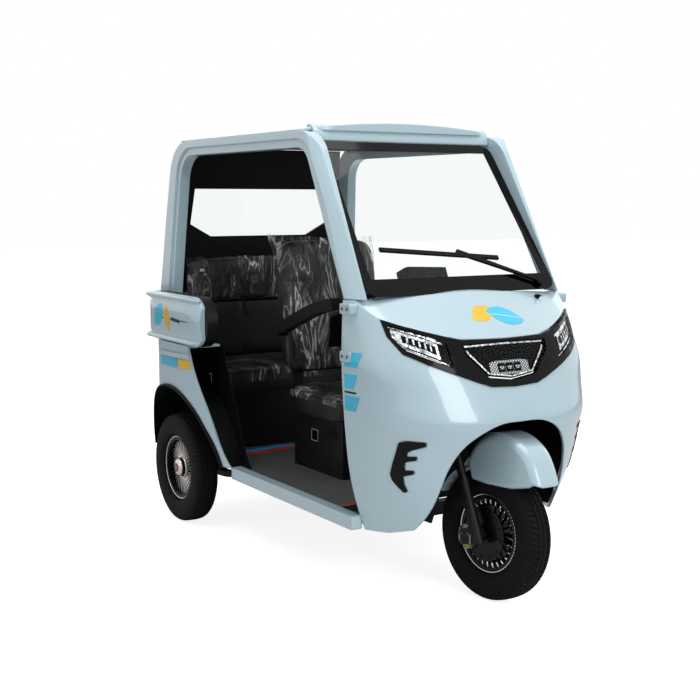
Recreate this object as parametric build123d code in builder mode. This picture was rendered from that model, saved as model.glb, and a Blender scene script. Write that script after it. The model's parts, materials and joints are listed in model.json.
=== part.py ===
from build123d import *
from math import asin, atan2, cos, degrees, pi, radians, sin, sqrt, tan
import os

os.makedirs("parts", exist_ok=True)

# Electric passenger tricycle: one front wheel, two rear wheels, an open-sided cab, a single
# driver's seat and a bench behind it.
# Millimetres. +X forward, +Y to the vehicle's left, +Z up, origin on the ground halfway between
# the axles, on the centre plane.

# ---- Running gear ----
wheelbase = 1530
track = 938
tyre_radius = 232.5
tyre_width = 105
rim_lip_radius = 138
rim_bead_radius = 128
rim_width = 66
rim_flange = 5
rim_wall = 8
rear_hub_half = 30
spoke_thickness = 22
spoke_width = 9
spoke_root = 6
disc_holes = 12
disc_hole_radius = 4
disc_hole_inset = 14
disc_carrier = 4
drum_face = 16
axle_end = 34
tyre_clearance = 0.3
shaft_clearance = 0.3
front_axle_x = wheelbase / 2
rear_axle_x = -wheelbase / 2
rear_wheel_y = track / 2

# ---- Steering ----
rake = 24
fork_offset = 35
parked_steer = 6
head_low = 395
head_high = 545
head_radius = 29
stem_radius = 17
bearing_clearance = 0.1

# ---- Cab ----
door_line_x = 535
skirt_z = 250
waist_z = 1045
cowl_wall = 10
hoop_waist_y = 469
hoop_depth = 52
hoop_foot_gap = 1.7
seat_gap = 0.3
# Reach of a cut that has to come out well past the body.
past_body = 700
tumblehome = 2.6
rail_low_z = 1562
rail_high_z = 1622
roof_crown_z = 1655
floor_z = 292
floor_thickness = 12
mat_thickness = 6
sill_outer_y = 451
cab_rear_x = -985
glass_thickness = 6

# Windscreen: a flat pane leaning back, given by its lower and upper edges on the centre plane.
screen_low = (590, 1057)
screen_high = (212, 1577)
screen_side_gap = 11
screen_low_half = hoop_waist_y - hoop_depth - screen_side_gap
screen_high_half = screen_low_half - 23
frit_width = 30


screen_lean = degrees(atan2(screen_low[0] - screen_high[0], screen_high[1] - screen_low[1]))
screen_height = sqrt((screen_low[0] - screen_high[0]) ** 2 + (screen_high[1] - screen_low[1]) ** 2)
screen_up = (-sin(radians(screen_lean)), 0, cos(radians(screen_lean)))
screen_out = (cos(radians(screen_lean)), 0, sin(radians(screen_lean)))
# The pane's plane: x to the vehicle's left, y up the glass, z outward.
screen_plane = Plane(origin=(screen_low[0], 0, screen_low[1]), x_dir=(0, 1, 0), z_dir=screen_out)
screen_corner = 40
screen_shape = [
    (-screen_low_half, 0),
    (screen_low_half, 0),
    (screen_high_half, screen_height),
    (-screen_high_half, screen_height),
]
frit_low = 62

surround_lap = 6
surround_thickness = 4


steer_axis_x = front_axle_x - fork_offset * cos(radians(rake))
steer_axis_z = tyre_radius - fork_offset * sin(radians(rake))
steer_up = (-sin(radians(rake)), 0, cos(radians(rake)))


def on_steer_axis(distance):
    """Point on the steering axis, this far above the level of the front axle."""
    return (steer_axis_x + distance * steer_up[0], 0, steer_axis_z + distance * steer_up[2])


def inset_curve(points, amount):
    """Points moved to the right of their direction of travel by amount."""
    moved = []
    for index, (x, y) in enumerate(points):
        before = points[max(index - 1, 0)]
        after = points[min(index + 1, len(points) - 1)]
        along = (after[0] - before[0], after[1] - before[1])
        length = sqrt(along[0] ** 2 + along[1] ** 2)
        moved.append((x + amount * along[1] / length, y - amount * along[0] / length))
    return moved


def side_view(y):
    """Side-view plane at a given y, drawn in x and z; extruding by a positive amount goes to -y."""
    return Plane.XZ.offset(-y)


# ================= Front cowl =================
# Horizontal sections of the nose are superellipses about x = nose_root_x. Each level is
# (height, reach ahead of the root, half width, power).
nose_root_x = 430
nose_mid_x = 560
nose_levels = [
    (skirt_z - 20, 400, 422, 1.8),
    (350, 430, 446, 2.1),
    (473, 440, 462, 2.55),
    (590, 466, 470, 2.65),
    (640, 478, 472, 2.75),
    (735, 446, 475, 2.9),
    (824, 410, 476, 3.1),
    (920, 371, 474, 2.8),
    (1000, 330, 471, 2.6),
    (1080, 265, 467, 2.6),
]
nose_points = 17
nose_sections = 23
deck_crown_radius = 2900
deck_low = (800, 918)
deck_high = (601, 1057)


def eased(low, high, share, slope_low, slope_high):
    """Smooth step from low to high with the given slopes per unit of share at its ends."""
    step = high - low
    return (
        low
        + share * slope_low
        + share**2 * (3 * step - 2 * slope_low - slope_high)
        + share**3 * (slope_low + slope_high - 2 * step)
    )


def nose_level(height):
    """Reach, half width and power of the nose's section at this height, eased between nose_levels."""
    index = 1
    while nose_levels[index][0] < height:
        index += 1
    low = nose_levels[index - 1]
    high = nose_levels[index]
    before = nose_levels[max(index - 2, 0)]
    after = nose_levels[min(index + 1, len(nose_levels) - 1)]
    span = high[0] - low[0]
    share = (height - low[0]) / span
    values = []
    for column in (1, 2, 3):
        slope_low = span * (high[column] - before[column]) / (high[0] - before[0])
        slope_high = span * (after[column] - low[column]) / (after[0] - low[0])
        values.append(eased(low[column], high[column], share, slope_low, slope_high))
    return values


def nose_block(inset):
    """Solid nose whose horizontal sections are drawn in by inset."""
    bottom = nose_levels[0][0]
    rise = (nose_levels[-1][0] - bottom) / (nose_sections - 1)
    with BuildPart() as block:
        for section in range(nose_sections):
            height = bottom + rise * section
            reach, half_width, power = nose_level(height)
            with BuildSketch(Plane.XY.offset(height)):
                with BuildLine():
                    outline = []
                    for step in range(nose_points):
                        turn = pi * step / (nose_points - 1) - pi / 2
                        along = (reach - inset) * abs(cos(turn)) ** (2 / power)
                        across = (half_width - inset) * abs(sin(turn)) ** (2 / power)
                        across = across if turn > 0 else -across
                        outline.append((nose_root_x + along, across))
                    Spline(*outline)
                    Line(outline[-1], outline[0])
                make_face()
        loft()
    return block.part


def deck_block(drop):
    """Everything under the crowned, forward-sloping bonnet surface, lowered by drop."""
    slope = atan2(deck_high[1] - deck_low[1], deck_low[0] - deck_high[0])
    deck_plane = Plane(
        origin=(deck_low[0] - drop * sin(slope), 0, deck_low[1] - drop * cos(slope)),
        x_dir=(0, 1, 0),
        z_dir=(-cos(slope), 0, sin(slope)),
    )
    with BuildPart() as block:
        with BuildSketch(deck_plane):
            with Locations((0, deck_crown_radius)):
                Circle(deck_crown_radius)
        extrude(amount=900, both=True)
    return block.part


nose_outer = nose_block(0)
nose_inner = nose_block(cowl_wall)
deck_outer = deck_block(0)
deck_inner = deck_block(cowl_wall)

# Front wheel arch, drawn in front view: half-width at each height.
arch_outline = [(0, 645), (76, 643), (149, 619), (207, 575), (245, 511), (265, 423), (277, 345), (301, 270)]

# Hinge pads of the doors on the cowl's edge: two on each side, with two screws in each.
hinge_x = 550
hinge_screw_pitch = 30
hinge_low_z = 855
hinge_pitch = 160
hinge_middle_z = hinge_low_z + hinge_pitch / 2
hinge_hole_radius = 3.3

# A gloss band across the nose that carries two headlamps and a centre lamp, given in front view
# for the vehicle's left half as (y, z); the right half mirrors it.
lamp_proud = 4
lamp_depth = 14
lamp_fit = 0.5
band_half = [
    (0, 912), (163, 916), (222, 927), (285, 944), (351, 964), (403, 984),
    (398, 930), (372, 877), (308, 843), (232, 812), (143, 778), (98, 763), (0, 758),
]
headlamp_half = [(232, 908), (300, 938), (392, 968), (388, 925), (362, 888), (310, 864), (226, 828)]
centre_lamp_half = [(0, 906), (180, 902), (172, 866), (100, 792), (0, 779)]
# Each side vent in side view as (x, z): a spine with three prongs pointing forward and a tail.
vent_outline = [
    (755, 587), (776, 594), (818, 591), (814, 577), (781, 563), (769, 554), (766, 540), (790, 541),
    (787, 529), (760, 522), (753, 492), (776, 491), (772, 480), (746, 471), (743, 447), (744, 418),
    (736, 412), (716, 455), (714, 476),
]
vent_inner_y = 250


# Door edge and skirt of the cowl in side view: the door edge leans back towards the waist and the
# skirt rises towards the nose.
door_line_slant = 28
door_line_lead = 18
skirt_line = [(640, skirt_z + 2), (740, skirt_z + 26), (1000, skirt_z + 130)]
cut_start_x = nose_root_x - 100
cut_margin = 100
screen_foot_drop = 60
screen_foot_setback = 20
foot_pocket_length = 220
foot_pocket_width = 120


def mirrored(half):
    """Closed outline from its left half, whose first and last points lie on the centre plane."""
    return half + [(-y, z) for y, z in reversed(half[1:-1])]


with BuildPart() as cowl_core:
    add(nose_inner)
    add(deck_inner, mode=Mode.INTERSECT)

with BuildPart() as front_cowl:
    add(nose_outer)
    add(deck_outer, mode=Mode.INTERSECT)
    add(cowl_core.part, mode=Mode.SUBTRACT)
    # Door edge, skirt and waist lines, cut square.
    with BuildSketch(Plane.XZ):
        with BuildLine():
            Polyline(
                (door_line_x + door_line_slant, skirt_z - cut_margin),
                (door_line_x - door_line_lead, waist_z),
                (door_line_x - door_line_lead, waist_z + past_body),
                (cut_start_x, waist_z + past_body),
                (cut_start_x, skirt_z - cut_margin),
                close=True,
            )
        make_face()
    extrude(amount=past_body, both=True, mode=Mode.SUBTRACT)
    with BuildSketch(Plane.XZ):
        with BuildLine():
            Polyline(
                (cut_start_x, skirt_z),
                *skirt_line,
                (skirt_line[-1][0], skirt_z - past_body),
                (cut_start_x, skirt_z - past_body),
                close=True,
            )
        make_face()
    extrude(amount=past_body, both=True, mode=Mode.SUBTRACT)
    # Wheel arch.
    with BuildSketch(Plane.YZ.offset(cut_start_x)):
        with BuildLine():
            right_half = [(-y, z) for y, z in reversed(arch_outline)]
            Spline(*right_half, *arch_outline[1:])
            Polyline(
                arch_outline[-1],
                (arch_outline[-1][0], skirt_z - cut_margin),
                (-arch_outline[-1][0], skirt_z - cut_margin),
                right_half[0],
            )
        make_face()
    extrude(amount=past_body, mode=Mode.SUBTRACT)
    # Pockets for the lamp band and for the side vents.
    with BuildSketch(Plane.YZ.offset(nose_mid_x)) as pocket:
        with BuildLine():
            Polyline(*mirrored(band_half), close=True)
        make_face()
        offset(amount=lamp_fit, kind=Kind.INTERSECTION)
    extrude(amount=past_body, mode=Mode.SUBTRACT)
    for side in (-1, 1):
        with BuildSketch(side_view(side * vent_inner_y)):
            with BuildLine():
                Polyline(*vent_outline, close=True)
            make_face()
            offset(amount=lamp_fit, kind=Kind.INTERSECTION)
        extrude(amount=-side * past_body, mode=Mode.SUBTRACT)
    with BuildSketch(Plane.XZ):
        with Locations((hinge_x, hinge_middle_z)):
            with GridLocations(hinge_screw_pitch, hinge_pitch, 2, 2):
                Circle(hinge_hole_radius)
    extrude(amount=past_body, both=True, mode=Mode.SUBTRACT)
    # Opening behind the windscreen's foot, over the dashboard.
    with BuildSketch(Plane.XY.offset(waist_z - screen_foot_drop)):
        with Locations((nose_root_x, 0)):
            Rectangle(
                2 * (screen_low[0] - screen_foot_setback - nose_root_x),
                2 * (hoop_waist_y - hoop_depth),
            )
    extrude(amount=past_body, mode=Mode.SUBTRACT)
    # Rebate for the windscreen and its border.
    with BuildSketch(screen_plane.offset(surround_thickness + 1)) as rebate:
        with BuildLine():
            Polyline(*screen_shape, close=True)
        make_face()
        fillet(rebate.vertices(), screen_corner)
        offset(amount=surround_lap + 1, kind=Kind.ARC)
    extrude(amount=-2 * screen_foot_drop, mode=Mode.SUBTRACT)
    # Clearance for the feet of the side hoops.
    with BuildSketch(Plane.XY.offset(waist_z - hoop_foot_gap)):
        for side in (-1, 1):
            with Locations((nose_root_x + foot_pocket_width / 2, side * (hoop_waist_y - hoop_depth / 2))):
                Rectangle(foot_pocket_length, foot_pocket_width)
    extrude(amount=past_body, mode=Mode.SUBTRACT)
front_cowl.part.label = "front_cowl"
export_step(front_cowl.part, "parts/front_cowl.step")


# ================= Front lamps =================
with BuildPart() as lamp_skin:
    add(nose_block(-lamp_proud))
    add(nose_block(lamp_depth), mode=Mode.SUBTRACT)

# The lamp band and the side vents, all gloss trim set into the cowl.
with BuildPart() as cowl_trim:
    with BuildSketch(Plane.YZ.offset(nose_mid_x)):
        with BuildLine():
            Polyline(*mirrored(band_half), close=True)
        make_face()
        with BuildLine():
            Polyline(*mirrored(centre_lamp_half), close=True)
        make_face(mode=Mode.SUBTRACT)
        for side in (-1, 1):
            with BuildLine():
                Polyline(*[(side * y, z) for y, z in headlamp_half], close=True)
            make_face(mode=Mode.SUBTRACT)
    extrude(amount=400)
    for side in (-1, 1):
        with BuildSketch(side_view(side * vent_inner_y)):
            with BuildLine():
                Polyline(*vent_outline, close=True)
            make_face()
        extrude(amount=-side * 300)
    add(lamp_skin.part, mode=Mode.INTERSECT)
cowl_trim.part.label = "cowl_trim"
export_step(cowl_trim.part, "parts/cowl_trim.step")

with BuildPart() as front_lamps:
    with BuildSketch(Plane.YZ.offset(nose_mid_x)):
        with BuildLine():
            Polyline(*mirrored(centre_lamp_half), close=True)
        make_face()
        for side in (-1, 1):
            with BuildLine():
                Polyline(*[(side * y, z) for y, z in headlamp_half], close=True)
            make_face()
        offset(amount=-lamp_fit, kind=Kind.INTERSECTION)
    extrude(amount=400)
    add(lamp_skin.part, mode=Mode.INTERSECT)
front_lamps.part.label = "front_lamps"
export_step(front_lamps.part, "parts/front_lamps.step")

# ================= Windscreen =================
with BuildPart() as windscreen_glass:
    with BuildSketch(screen_plane.offset(-glass_thickness)) as pane:
        with BuildLine():
            Polyline(*screen_shape, close=True)
        make_face()
        fillet(pane.vertices(), screen_corner)
    extrude(amount=glass_thickness)
windscreen_glass.part.label = "windscreen_glass"
export_step(windscreen_glass.part, "parts/windscreen_glass.step")

# Black border bonded over the edge of the pane.
with BuildPart() as windscreen_surround:
    with BuildSketch(screen_plane) as border:
        with BuildLine():
            Polyline(*screen_shape, close=True)
        make_face()
        fillet(border.vertices(), screen_corner)
        offset(amount=surround_lap, kind=Kind.ARC)
        with BuildLine():
            Polyline(
                (-screen_low_half + frit_width, frit_low),
                (screen_low_half - frit_width, frit_low),
                (screen_high_half - frit_width, screen_height - frit_width),
                (-screen_high_half + frit_width, screen_height - frit_width),
                close=True,
            )
        make_face(mode=Mode.SUBTRACT)
    extrude(amount=surround_thickness)
windscreen_surround.part.label = "windscreen_surround"
export_step(windscreen_surround.part, "parts/windscreen_surround.step")


# ================= Side hoops =================
# The frame round each door opening, drawn in side view: up the rear pillar, along the roof rail
# and down the windscreen pillar. It leans inward above waist_z.
hoop_outer = [(-1000, 968), (-955, 1300), (-905, 1622), (268, 1622), (600, 1046)]
hoop_inner = [(522, 1046), (222, 1562), (-822, 1562), (-862, 1180), (-880, 968)]
hoop_outer_corner = 150
hoop_inner_corner = 100
# The windscreen pillar's outside curves inward as the cowl does, along a superellipse in plan.
pillar_reach = 272
pillar_half = 471
pillar_power = 2.7
# Step round the door opening: the inner part of the frame lies a little deeper.
hoop_step_width = 30
hoop_step_depth = 8
hoop_opening_front = (hoop_inner[0][0], waist_z - 200)
hoop_opening_rear = (hoop_inner[-1][0], waist_z - 200)


def hoop_profile(outline):
    """Side-view points measured on the leaning plane of the hoop."""
    return [(x, (z - waist_z) / cos(radians(tumblehome))) for x, z in outline]


pillar_rear_x = -1400
pillar_rise = 900
pillar_low_half = 300
pillar_sections = 12
pillar_sides = [
    pillar_low_half + (pillar_half - pillar_low_half) * sin(pi / 2 * step / pillar_sections)
    for step in range(pillar_sections + 1)
]
pillar_outline = [
    (nose_root_x + pillar_reach * (1 - (y / pillar_half) ** pillar_power) ** (1 / pillar_power), -y)
    for y in pillar_sides
]
hoop_plane = Plane(
    origin=(0, -hoop_waist_y, waist_z),
    x_dir=(1, 0, 0),
    z_dir=(0, -cos(radians(tumblehome)), sin(radians(tumblehome))),
)
with BuildPart() as side_hoops:
    with BuildSketch(hoop_plane) as hoop_shape:
        with BuildLine():
            Polyline(*hoop_profile(hoop_outer + hoop_inner), close=True)
        make_face()
        fillet(hoop_shape.vertices().group_by(Axis.Y)[-2], hoop_inner_corner)
        fillet(hoop_shape.vertices().group_by(Axis.Y)[-1], hoop_outer_corner)
    extrude(amount=-hoop_depth)
    # Step round the door opening, and rounded outer edges.
    with BuildSketch(hoop_plane) as opening:
        with BuildLine():
            Polyline(*hoop_profile(hoop_inner + [hoop_opening_rear, hoop_opening_front]), close=True)
        make_face()
        fillet(opening.vertices().group_by(Axis.Y)[-1], hoop_inner_corner)
        offset(amount=hoop_step_width, kind=Kind.ARC)
    extrude(amount=-hoop_step_depth, mode=Mode.SUBTRACT)
    # Outside of the pillar, carried up along the slope of the windscreen.
    with BuildSketch(Plane.XY.offset(hoop_inner[0][1])):
        with BuildLine():
            Spline(*pillar_outline)
            Polyline(pillar_outline[-1], (pillar_rear_x, pillar_outline[-1][1]), (pillar_rear_x, 0),
                     (pillar_outline[0][0], 0), pillar_outline[0])
        make_face()
    extrude(amount=pillar_rise, dir=(hoop_outer[3][0] - hoop_outer[4][0], 0, hoop_outer[3][1] - hoop_outer[4][1]),
            both=True, mode=Mode.INTERSECT)
    mirror(about=Plane.XZ)
side_hoops.part.label = "side_hoops"
export_step(side_hoops.part, "parts/side_hoops.step")


def hoop_face(z, depth):
    """Distance from the centre plane of the hoop's leaning side at height z, depth inside its outside."""
    return hoop_waist_y - depth / cos(radians(tumblehome)) - (z - waist_z) * tan(radians(tumblehome))


# ================= Roof =================
roof_half = 440
roof_front_x = 214
roof_rear_x = -925
roof_edge_z = rail_high_z + seat_gap
roof_across_radius = 3200
roof_corner = 130


def crowned_slab(crown_z, bottom_z, shrink):
    """Slab over the cab with a surface crowned along and across."""
    middle_x = (roof_front_x + roof_rear_x) / 2
    with BuildPart() as slab:
        with BuildSketch(Plane.XY.offset(bottom_z)) as plan:
            with Locations((middle_x, 0)):
                RectangleRounded(
                    roof_front_x - roof_rear_x - 2 * shrink,
                    2 * (roof_half - shrink),
                    roof_corner - shrink,
                )
        extrude(amount=crown_z - bottom_z + 50)
        with BuildSketch(Plane.YZ.offset(roof_rear_x - 50)):
            with Locations((0, crown_z - roof_across_radius)):
                Circle(roof_across_radius)
        extrude(amount=roof_front_x - roof_rear_x + 100, mode=Mode.INTERSECT)
    return slab.part


# The front of the roof turns down to the top edge of the windscreen, between the hoops.
visor_gap = 2
visor_wall = 10
visor_half = hoop_face(roof_edge_z, hoop_depth) - 1
visor_low = (
    screen_high[0] + (surround_lap + visor_gap) * screen_up[0],
    screen_high[1] + (surround_lap + visor_gap) * screen_up[2] + surround_thickness,
)
visor_line = [
    (visor_low[0] + 4, visor_low[1]),
    (visor_low[0] + 2, visor_low[1] + 22),
    (visor_low[0] - 14, visor_low[1] + 48),
    (visor_low[0] - 50, roof_edge_z + 22),
]
with BuildPart() as roof_panel:
    add(crowned_slab(roof_crown_z, roof_edge_z, 0))
    with BuildSketch(side_view(-visor_half)):
        with BuildLine():
            visor_inner = inset_curve(visor_line[::-1], visor_wall)[::-1]
            Spline(*visor_line)
            Line(visor_line[-1], visor_inner[-1])
            Spline(*reversed(visor_inner))
            Line(visor_inner[0], visor_line[0])
        make_face()
    extrude(amount=-2 * visor_half)
roof_panel.part.label = "roof_panel"
export_step(roof_panel.part, "parts/roof_panel.step")

headliner_half = hoop_face(roof_crown_z, hoop_depth) - 2
headliner_z = 1600
with BuildPart() as headliner:
    with BuildSketch(Plane.XY.offset(headliner_z)):
        with Locations(((roof_front_x + roof_rear_x) / 2 + 10, 0)):
            RectangleRounded(roof_front_x - roof_rear_x - 120, 2 * headliner_half, 60)
    extrude(amount=roof_edge_z - headliner_z)
headliner.part.label = "headliner"
export_step(headliner.part, "parts/headliner.step")


# ================= Rear wall =================
wall_thickness = 18
rear_wall_line = [(cab_rear_x, 960), (-968, 1250), (-905, 1600)]
window_low_z = 1216
window_side_z = 1271
window_high_z = 1425
window_low_half = 246
window_side_half = 347
window_high_half = 335

with BuildPart() as rear_wall:
    with BuildSketch(Plane.XZ):
        with BuildLine():
            inner_line = [(x + wall_thickness, z) for x, z in reversed(rear_wall_line)]
            Polyline(*rear_wall_line, *inner_line, close=True)
        make_face()
    extrude(amount=hoop_waist_y, both=True)
    with BuildSketch(Plane.YZ.offset(cab_rear_x - 100)):
        with BuildLine():
            wall_low_z = rear_wall_line[0][1]
            wall_high_z = rear_wall_line[-1][1]
            wall_low_half = hoop_face(wall_low_z, hoop_depth) - seat_gap
            wall_high_half = hoop_face(wall_high_z, hoop_depth) - seat_gap
            Polyline(
                (-wall_low_half, wall_low_z),
                (wall_low_half, wall_low_z),
                (wall_high_half, wall_high_z),
                (-wall_high_half, wall_high_z),
                close=True,
            )
        make_face()
    extrude(amount=300, mode=Mode.INTERSECT)
    with BuildSketch(Plane.YZ.offset(cab_rear_x - 100)):
        with BuildLine():
            Polyline(
                (-window_low_half, window_low_z),
                (window_low_half, window_low_z),
                (window_side_half, window_side_z),
                (window_high_half, window_high_z),
                (-window_high_half, window_high_z),
                (-window_side_half, window_side_z),
                close=True,
            )
        make_face()
    extrude(amount=300, mode=Mode.SUBTRACT)
rear_wall.part.label = "rear_wall"
export_step(rear_wall.part, "parts/rear_wall.step")

# The rear pane is bonded to the outside of the wall.
pane_lap = 18
pane_thickness = 4
with BuildPart() as rear_window_glass:
    with BuildSketch(Plane.XZ.offset(-window_side_half - pane_lap)):
        with BuildLine():
            outer_line = [(x - pane_thickness, z) for x, z in reversed(rear_wall_line)]
            Polyline(*rear_wall_line, *outer_line, close=True)
        make_face()
    extrude(amount=2 * (window_side_half + pane_lap))
    with BuildSketch(Plane.XY.offset(window_low_z - pane_lap)):
        with Locations((cab_rear_x, 0)):
            Rectangle(400, 900)
    extrude(amount=window_high_z - window_low_z + 2 * pane_lap, mode=Mode.INTERSECT)
rear_window_glass.part.label = "rear_window_glass"
export_step(rear_window_glass.part, "parts/rear_window_glass.step")


# ================= Dashboard and wheel well =================
firewall_x = 408
dash_thickness = 8
dash_line = [(firewall_x, 880), (430, 985), (552, 1030)]
column_slot_half = 42

# The dashboard fills the width of the cowl; ahead of the door line it follows the cowl's inside.
with BuildPart() as dash_space:
    with BuildSketch(Plane.XZ):
        with Locations(((nose_root_x + firewall_x) / 2, dash_line[1][1])):
            Rectangle(nose_root_x - firewall_x, 400)
    extrude(amount=hoop_waist_y - cowl_wall - seat_gap, both=True)
    add(nose_block(cowl_wall + seat_gap))

with BuildPart() as dashboard:
    with BuildSketch(Plane.XZ):
        with BuildLine():
            lower_line = [(x + dash_thickness, z - dash_thickness) for x, z in reversed(dash_line)]
            Polyline(*dash_line, *lower_line, close=True)
        make_face()
    extrude(amount=hoop_waist_y, both=True)
    add(dash_space.part, mode=Mode.INTERSECT)
    with BuildSketch(Plane.YZ.offset(firewall_x - 20)):
        with Locations((0, dash_line[0][1])):
            Rectangle(2 * column_slot_half, 190)
    extrude(amount=80, mode=Mode.SUBTRACT)
dashboard.part.label = "dashboard"
export_step(dashboard.part, "parts/dashboard.step")

well_half = 262
post_x = 450
post_size = 36
well_wall = 6
well_top_z = 648
well_back_x = post_x + post_size / 2 + seat_gap
well_low_z = floor_z + mat_thickness
well_gap = 1
well_skin = nose_block(cowl_wall + well_gap)
with BuildPart() as wheel_well:
    with BuildSketch(Plane.XY.offset(well_low_z)):
        with Locations((well_back_x + 250, 0)):
            Rectangle(500, 2 * well_half)
    extrude(amount=well_top_z - well_low_z)
    with BuildSketch(Plane.XY.offset(well_low_z)):
        with Locations((well_back_x + well_wall + 300, 0)):
            Rectangle(600, 2 * (well_half - well_wall))
    extrude(amount=well_top_z - well_wall - well_low_z, mode=Mode.SUBTRACT)
    with BuildSketch(Plane(origin=on_steer_axis(head_low - 60), z_dir=steer_up)):
        Circle(head_radius + 4)
    extrude(amount=300, mode=Mode.SUBTRACT)
    add(well_skin, mode=Mode.INTERSECT)
wheel_well.part.label = "wheel_well"
export_step(wheel_well.part, "parts/wheel_well.step")


# ================= Floor and chassis =================
floor_front_x = 425
sill_inner_y = 407
sill_low_z = 255
sill_high_z = 302
sill_front_x = 553
sill_rear_x = -360
sill_gap = 0.3
floor_rear_x = -704
floor_half = 388
with BuildPart() as floor_pan:
    with BuildSketch(Plane.XY.offset(floor_z - floor_thickness)):
        with Locations(((floor_front_x + floor_rear_x) / 2, 0)):
            Rectangle(floor_front_x - floor_rear_x, 2 * floor_half)
        with Locations(((floor_front_x + sill_rear_x) / 2, 0)):
            Rectangle(floor_front_x - sill_rear_x, 2 * (sill_inner_y - sill_gap))
    extrude(amount=floor_thickness)
floor_pan.part.label = "floor_pan"
export_step(floor_pan.part, "parts/floor_pan.step")

seat_box_rear_x = -317
seat_box_front_x = 60
seat_box_half = 180
mat_gap = 2
with BuildPart() as floor_mat:
    with BuildSketch(Plane.XY.offset(floor_z)):
        with Locations(((firewall_x + floor_rear_x) / 2, 0)):
            Rectangle(firewall_x - floor_rear_x - 2 * mat_gap, 2 * floor_half)
        with Locations(((firewall_x + sill_rear_x) / 2, 0)):
            Rectangle(firewall_x - sill_rear_x - 2 * mat_gap, 2 * (sill_inner_y - mat_gap))
        with Locations(((seat_box_front_x + seat_box_rear_x) / 2, 0)):
            Rectangle(
                seat_box_front_x - seat_box_rear_x + 2 * mat_gap,
                2 * seat_box_half + 2 * mat_gap,
                mode=Mode.SUBTRACT,
            )
    extrude(amount=mat_thickness)
floor_mat.part.label = "floor_mat"
export_step(floor_mat.part, "parts/floor_mat.step")

# Ladder frame of box tube: two rails that step up over the rear axle, cross members, two posts
# behind the wheel well and the steering head that they carry.
rail_half_gauge = 300
rail_tube_width = 40
rail_tube_height = 50
rail_top_z = floor_z - floor_thickness
rail_kick_z = 300
rail_end_x = -985
rail_step_x = -716
rail_step_depth = 16
post_y = 150
post_top_z = 740

with BuildPart() as chassis_frame:
    with BuildSketch(Plane.XZ.offset(rail_half_gauge - rail_tube_width / 2)):
        with BuildLine():
            Polyline(
                (post_x + post_size / 2, rail_top_z),
                (post_x + post_size / 2, rail_top_z - rail_tube_height),
                (rail_step_x - rail_step_depth, rail_top_z - rail_tube_height),
                (rail_step_x - rail_step_depth, rail_kick_z),
                (rail_end_x, rail_kick_z),
                (rail_end_x, rail_kick_z + rail_tube_height),
                (rail_step_x, rail_kick_z + rail_tube_height),
                (rail_step_x, rail_top_z),
                close=True,
            )
        make_face()
    extrude(amount=rail_tube_width)
    mirror(about=Plane.XZ)
    for cross_x in (-300, 100, post_x):
        with BuildSketch(Plane.XY.offset(rail_top_z - rail_tube_height)):
            with Locations((cross_x, 0)):
                Rectangle(post_size, 2 * rail_half_gauge)
        extrude(amount=rail_tube_height)
    for cross_x in (-850, rail_end_x + post_size / 2):
        with BuildSketch(Plane.XY.offset(rail_kick_z)):
            with Locations((cross_x, 0)):
                Rectangle(post_size, 2 * rail_half_gauge)
        extrude(amount=rail_tube_height)
    with BuildSketch(Plane.XY.offset(rail_top_z)):
        with Locations((post_x, -post_y), (post_x, post_y)):
            Rectangle(post_size, post_size)
    extrude(amount=post_top_z - rail_top_z)
    with BuildSketch(Plane.XY.offset(post_top_z - 60)):
        with Locations((post_x, 0)):
            Rectangle(post_size, 2 * post_y)
        with Locations(((post_x + on_steer_axis(head_high)[0]) / 2, 0)):
            Rectangle(on_steer_axis(head_high)[0] - post_x - 8, 30)
    extrude(amount=50)
    with BuildSketch(Plane(origin=on_steer_axis(head_low), z_dir=steer_up)):
        Circle(head_radius)
    extrude(amount=head_high - head_low)
    with BuildSketch(Plane(origin=on_steer_axis(head_low - 40), z_dir=steer_up)):
        Circle(stem_radius + bearing_clearance)
    extrude(amount=head_high - head_low + 200, mode=Mode.SUBTRACT)
chassis_frame.part.label = "chassis_frame"
export_step(chassis_frame.part, "parts/chassis_frame.step")

# ================= Seats =================
seat_box_wall = 8
seat_box_top = 520
backrest_lean = 8
backrest_thickness = 80
backrest_half = 225
backrest_height = 540
backrest_foot = (-262, 682)
armrest_pivot = (-283, 861)
armrest_inner_y = 240
armrest_width = 44
armrest_pin_radius = 9
upright_y = 150
upright_width = 40
upright_thickness = 8
upright_low_z = 420
upright_high_z = 1090
bracket_thickness = 6
bracket_gap = 5


def backrest_rear_x(z, behind):
    """Place of the backrest's leaning back at height z, and behind it by the given distance."""
    lean = radians(backrest_lean)
    return backrest_foot[0] - (backrest_thickness + behind) / cos(lean) - (z - backrest_foot[1]) * tan(lean)


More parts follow.
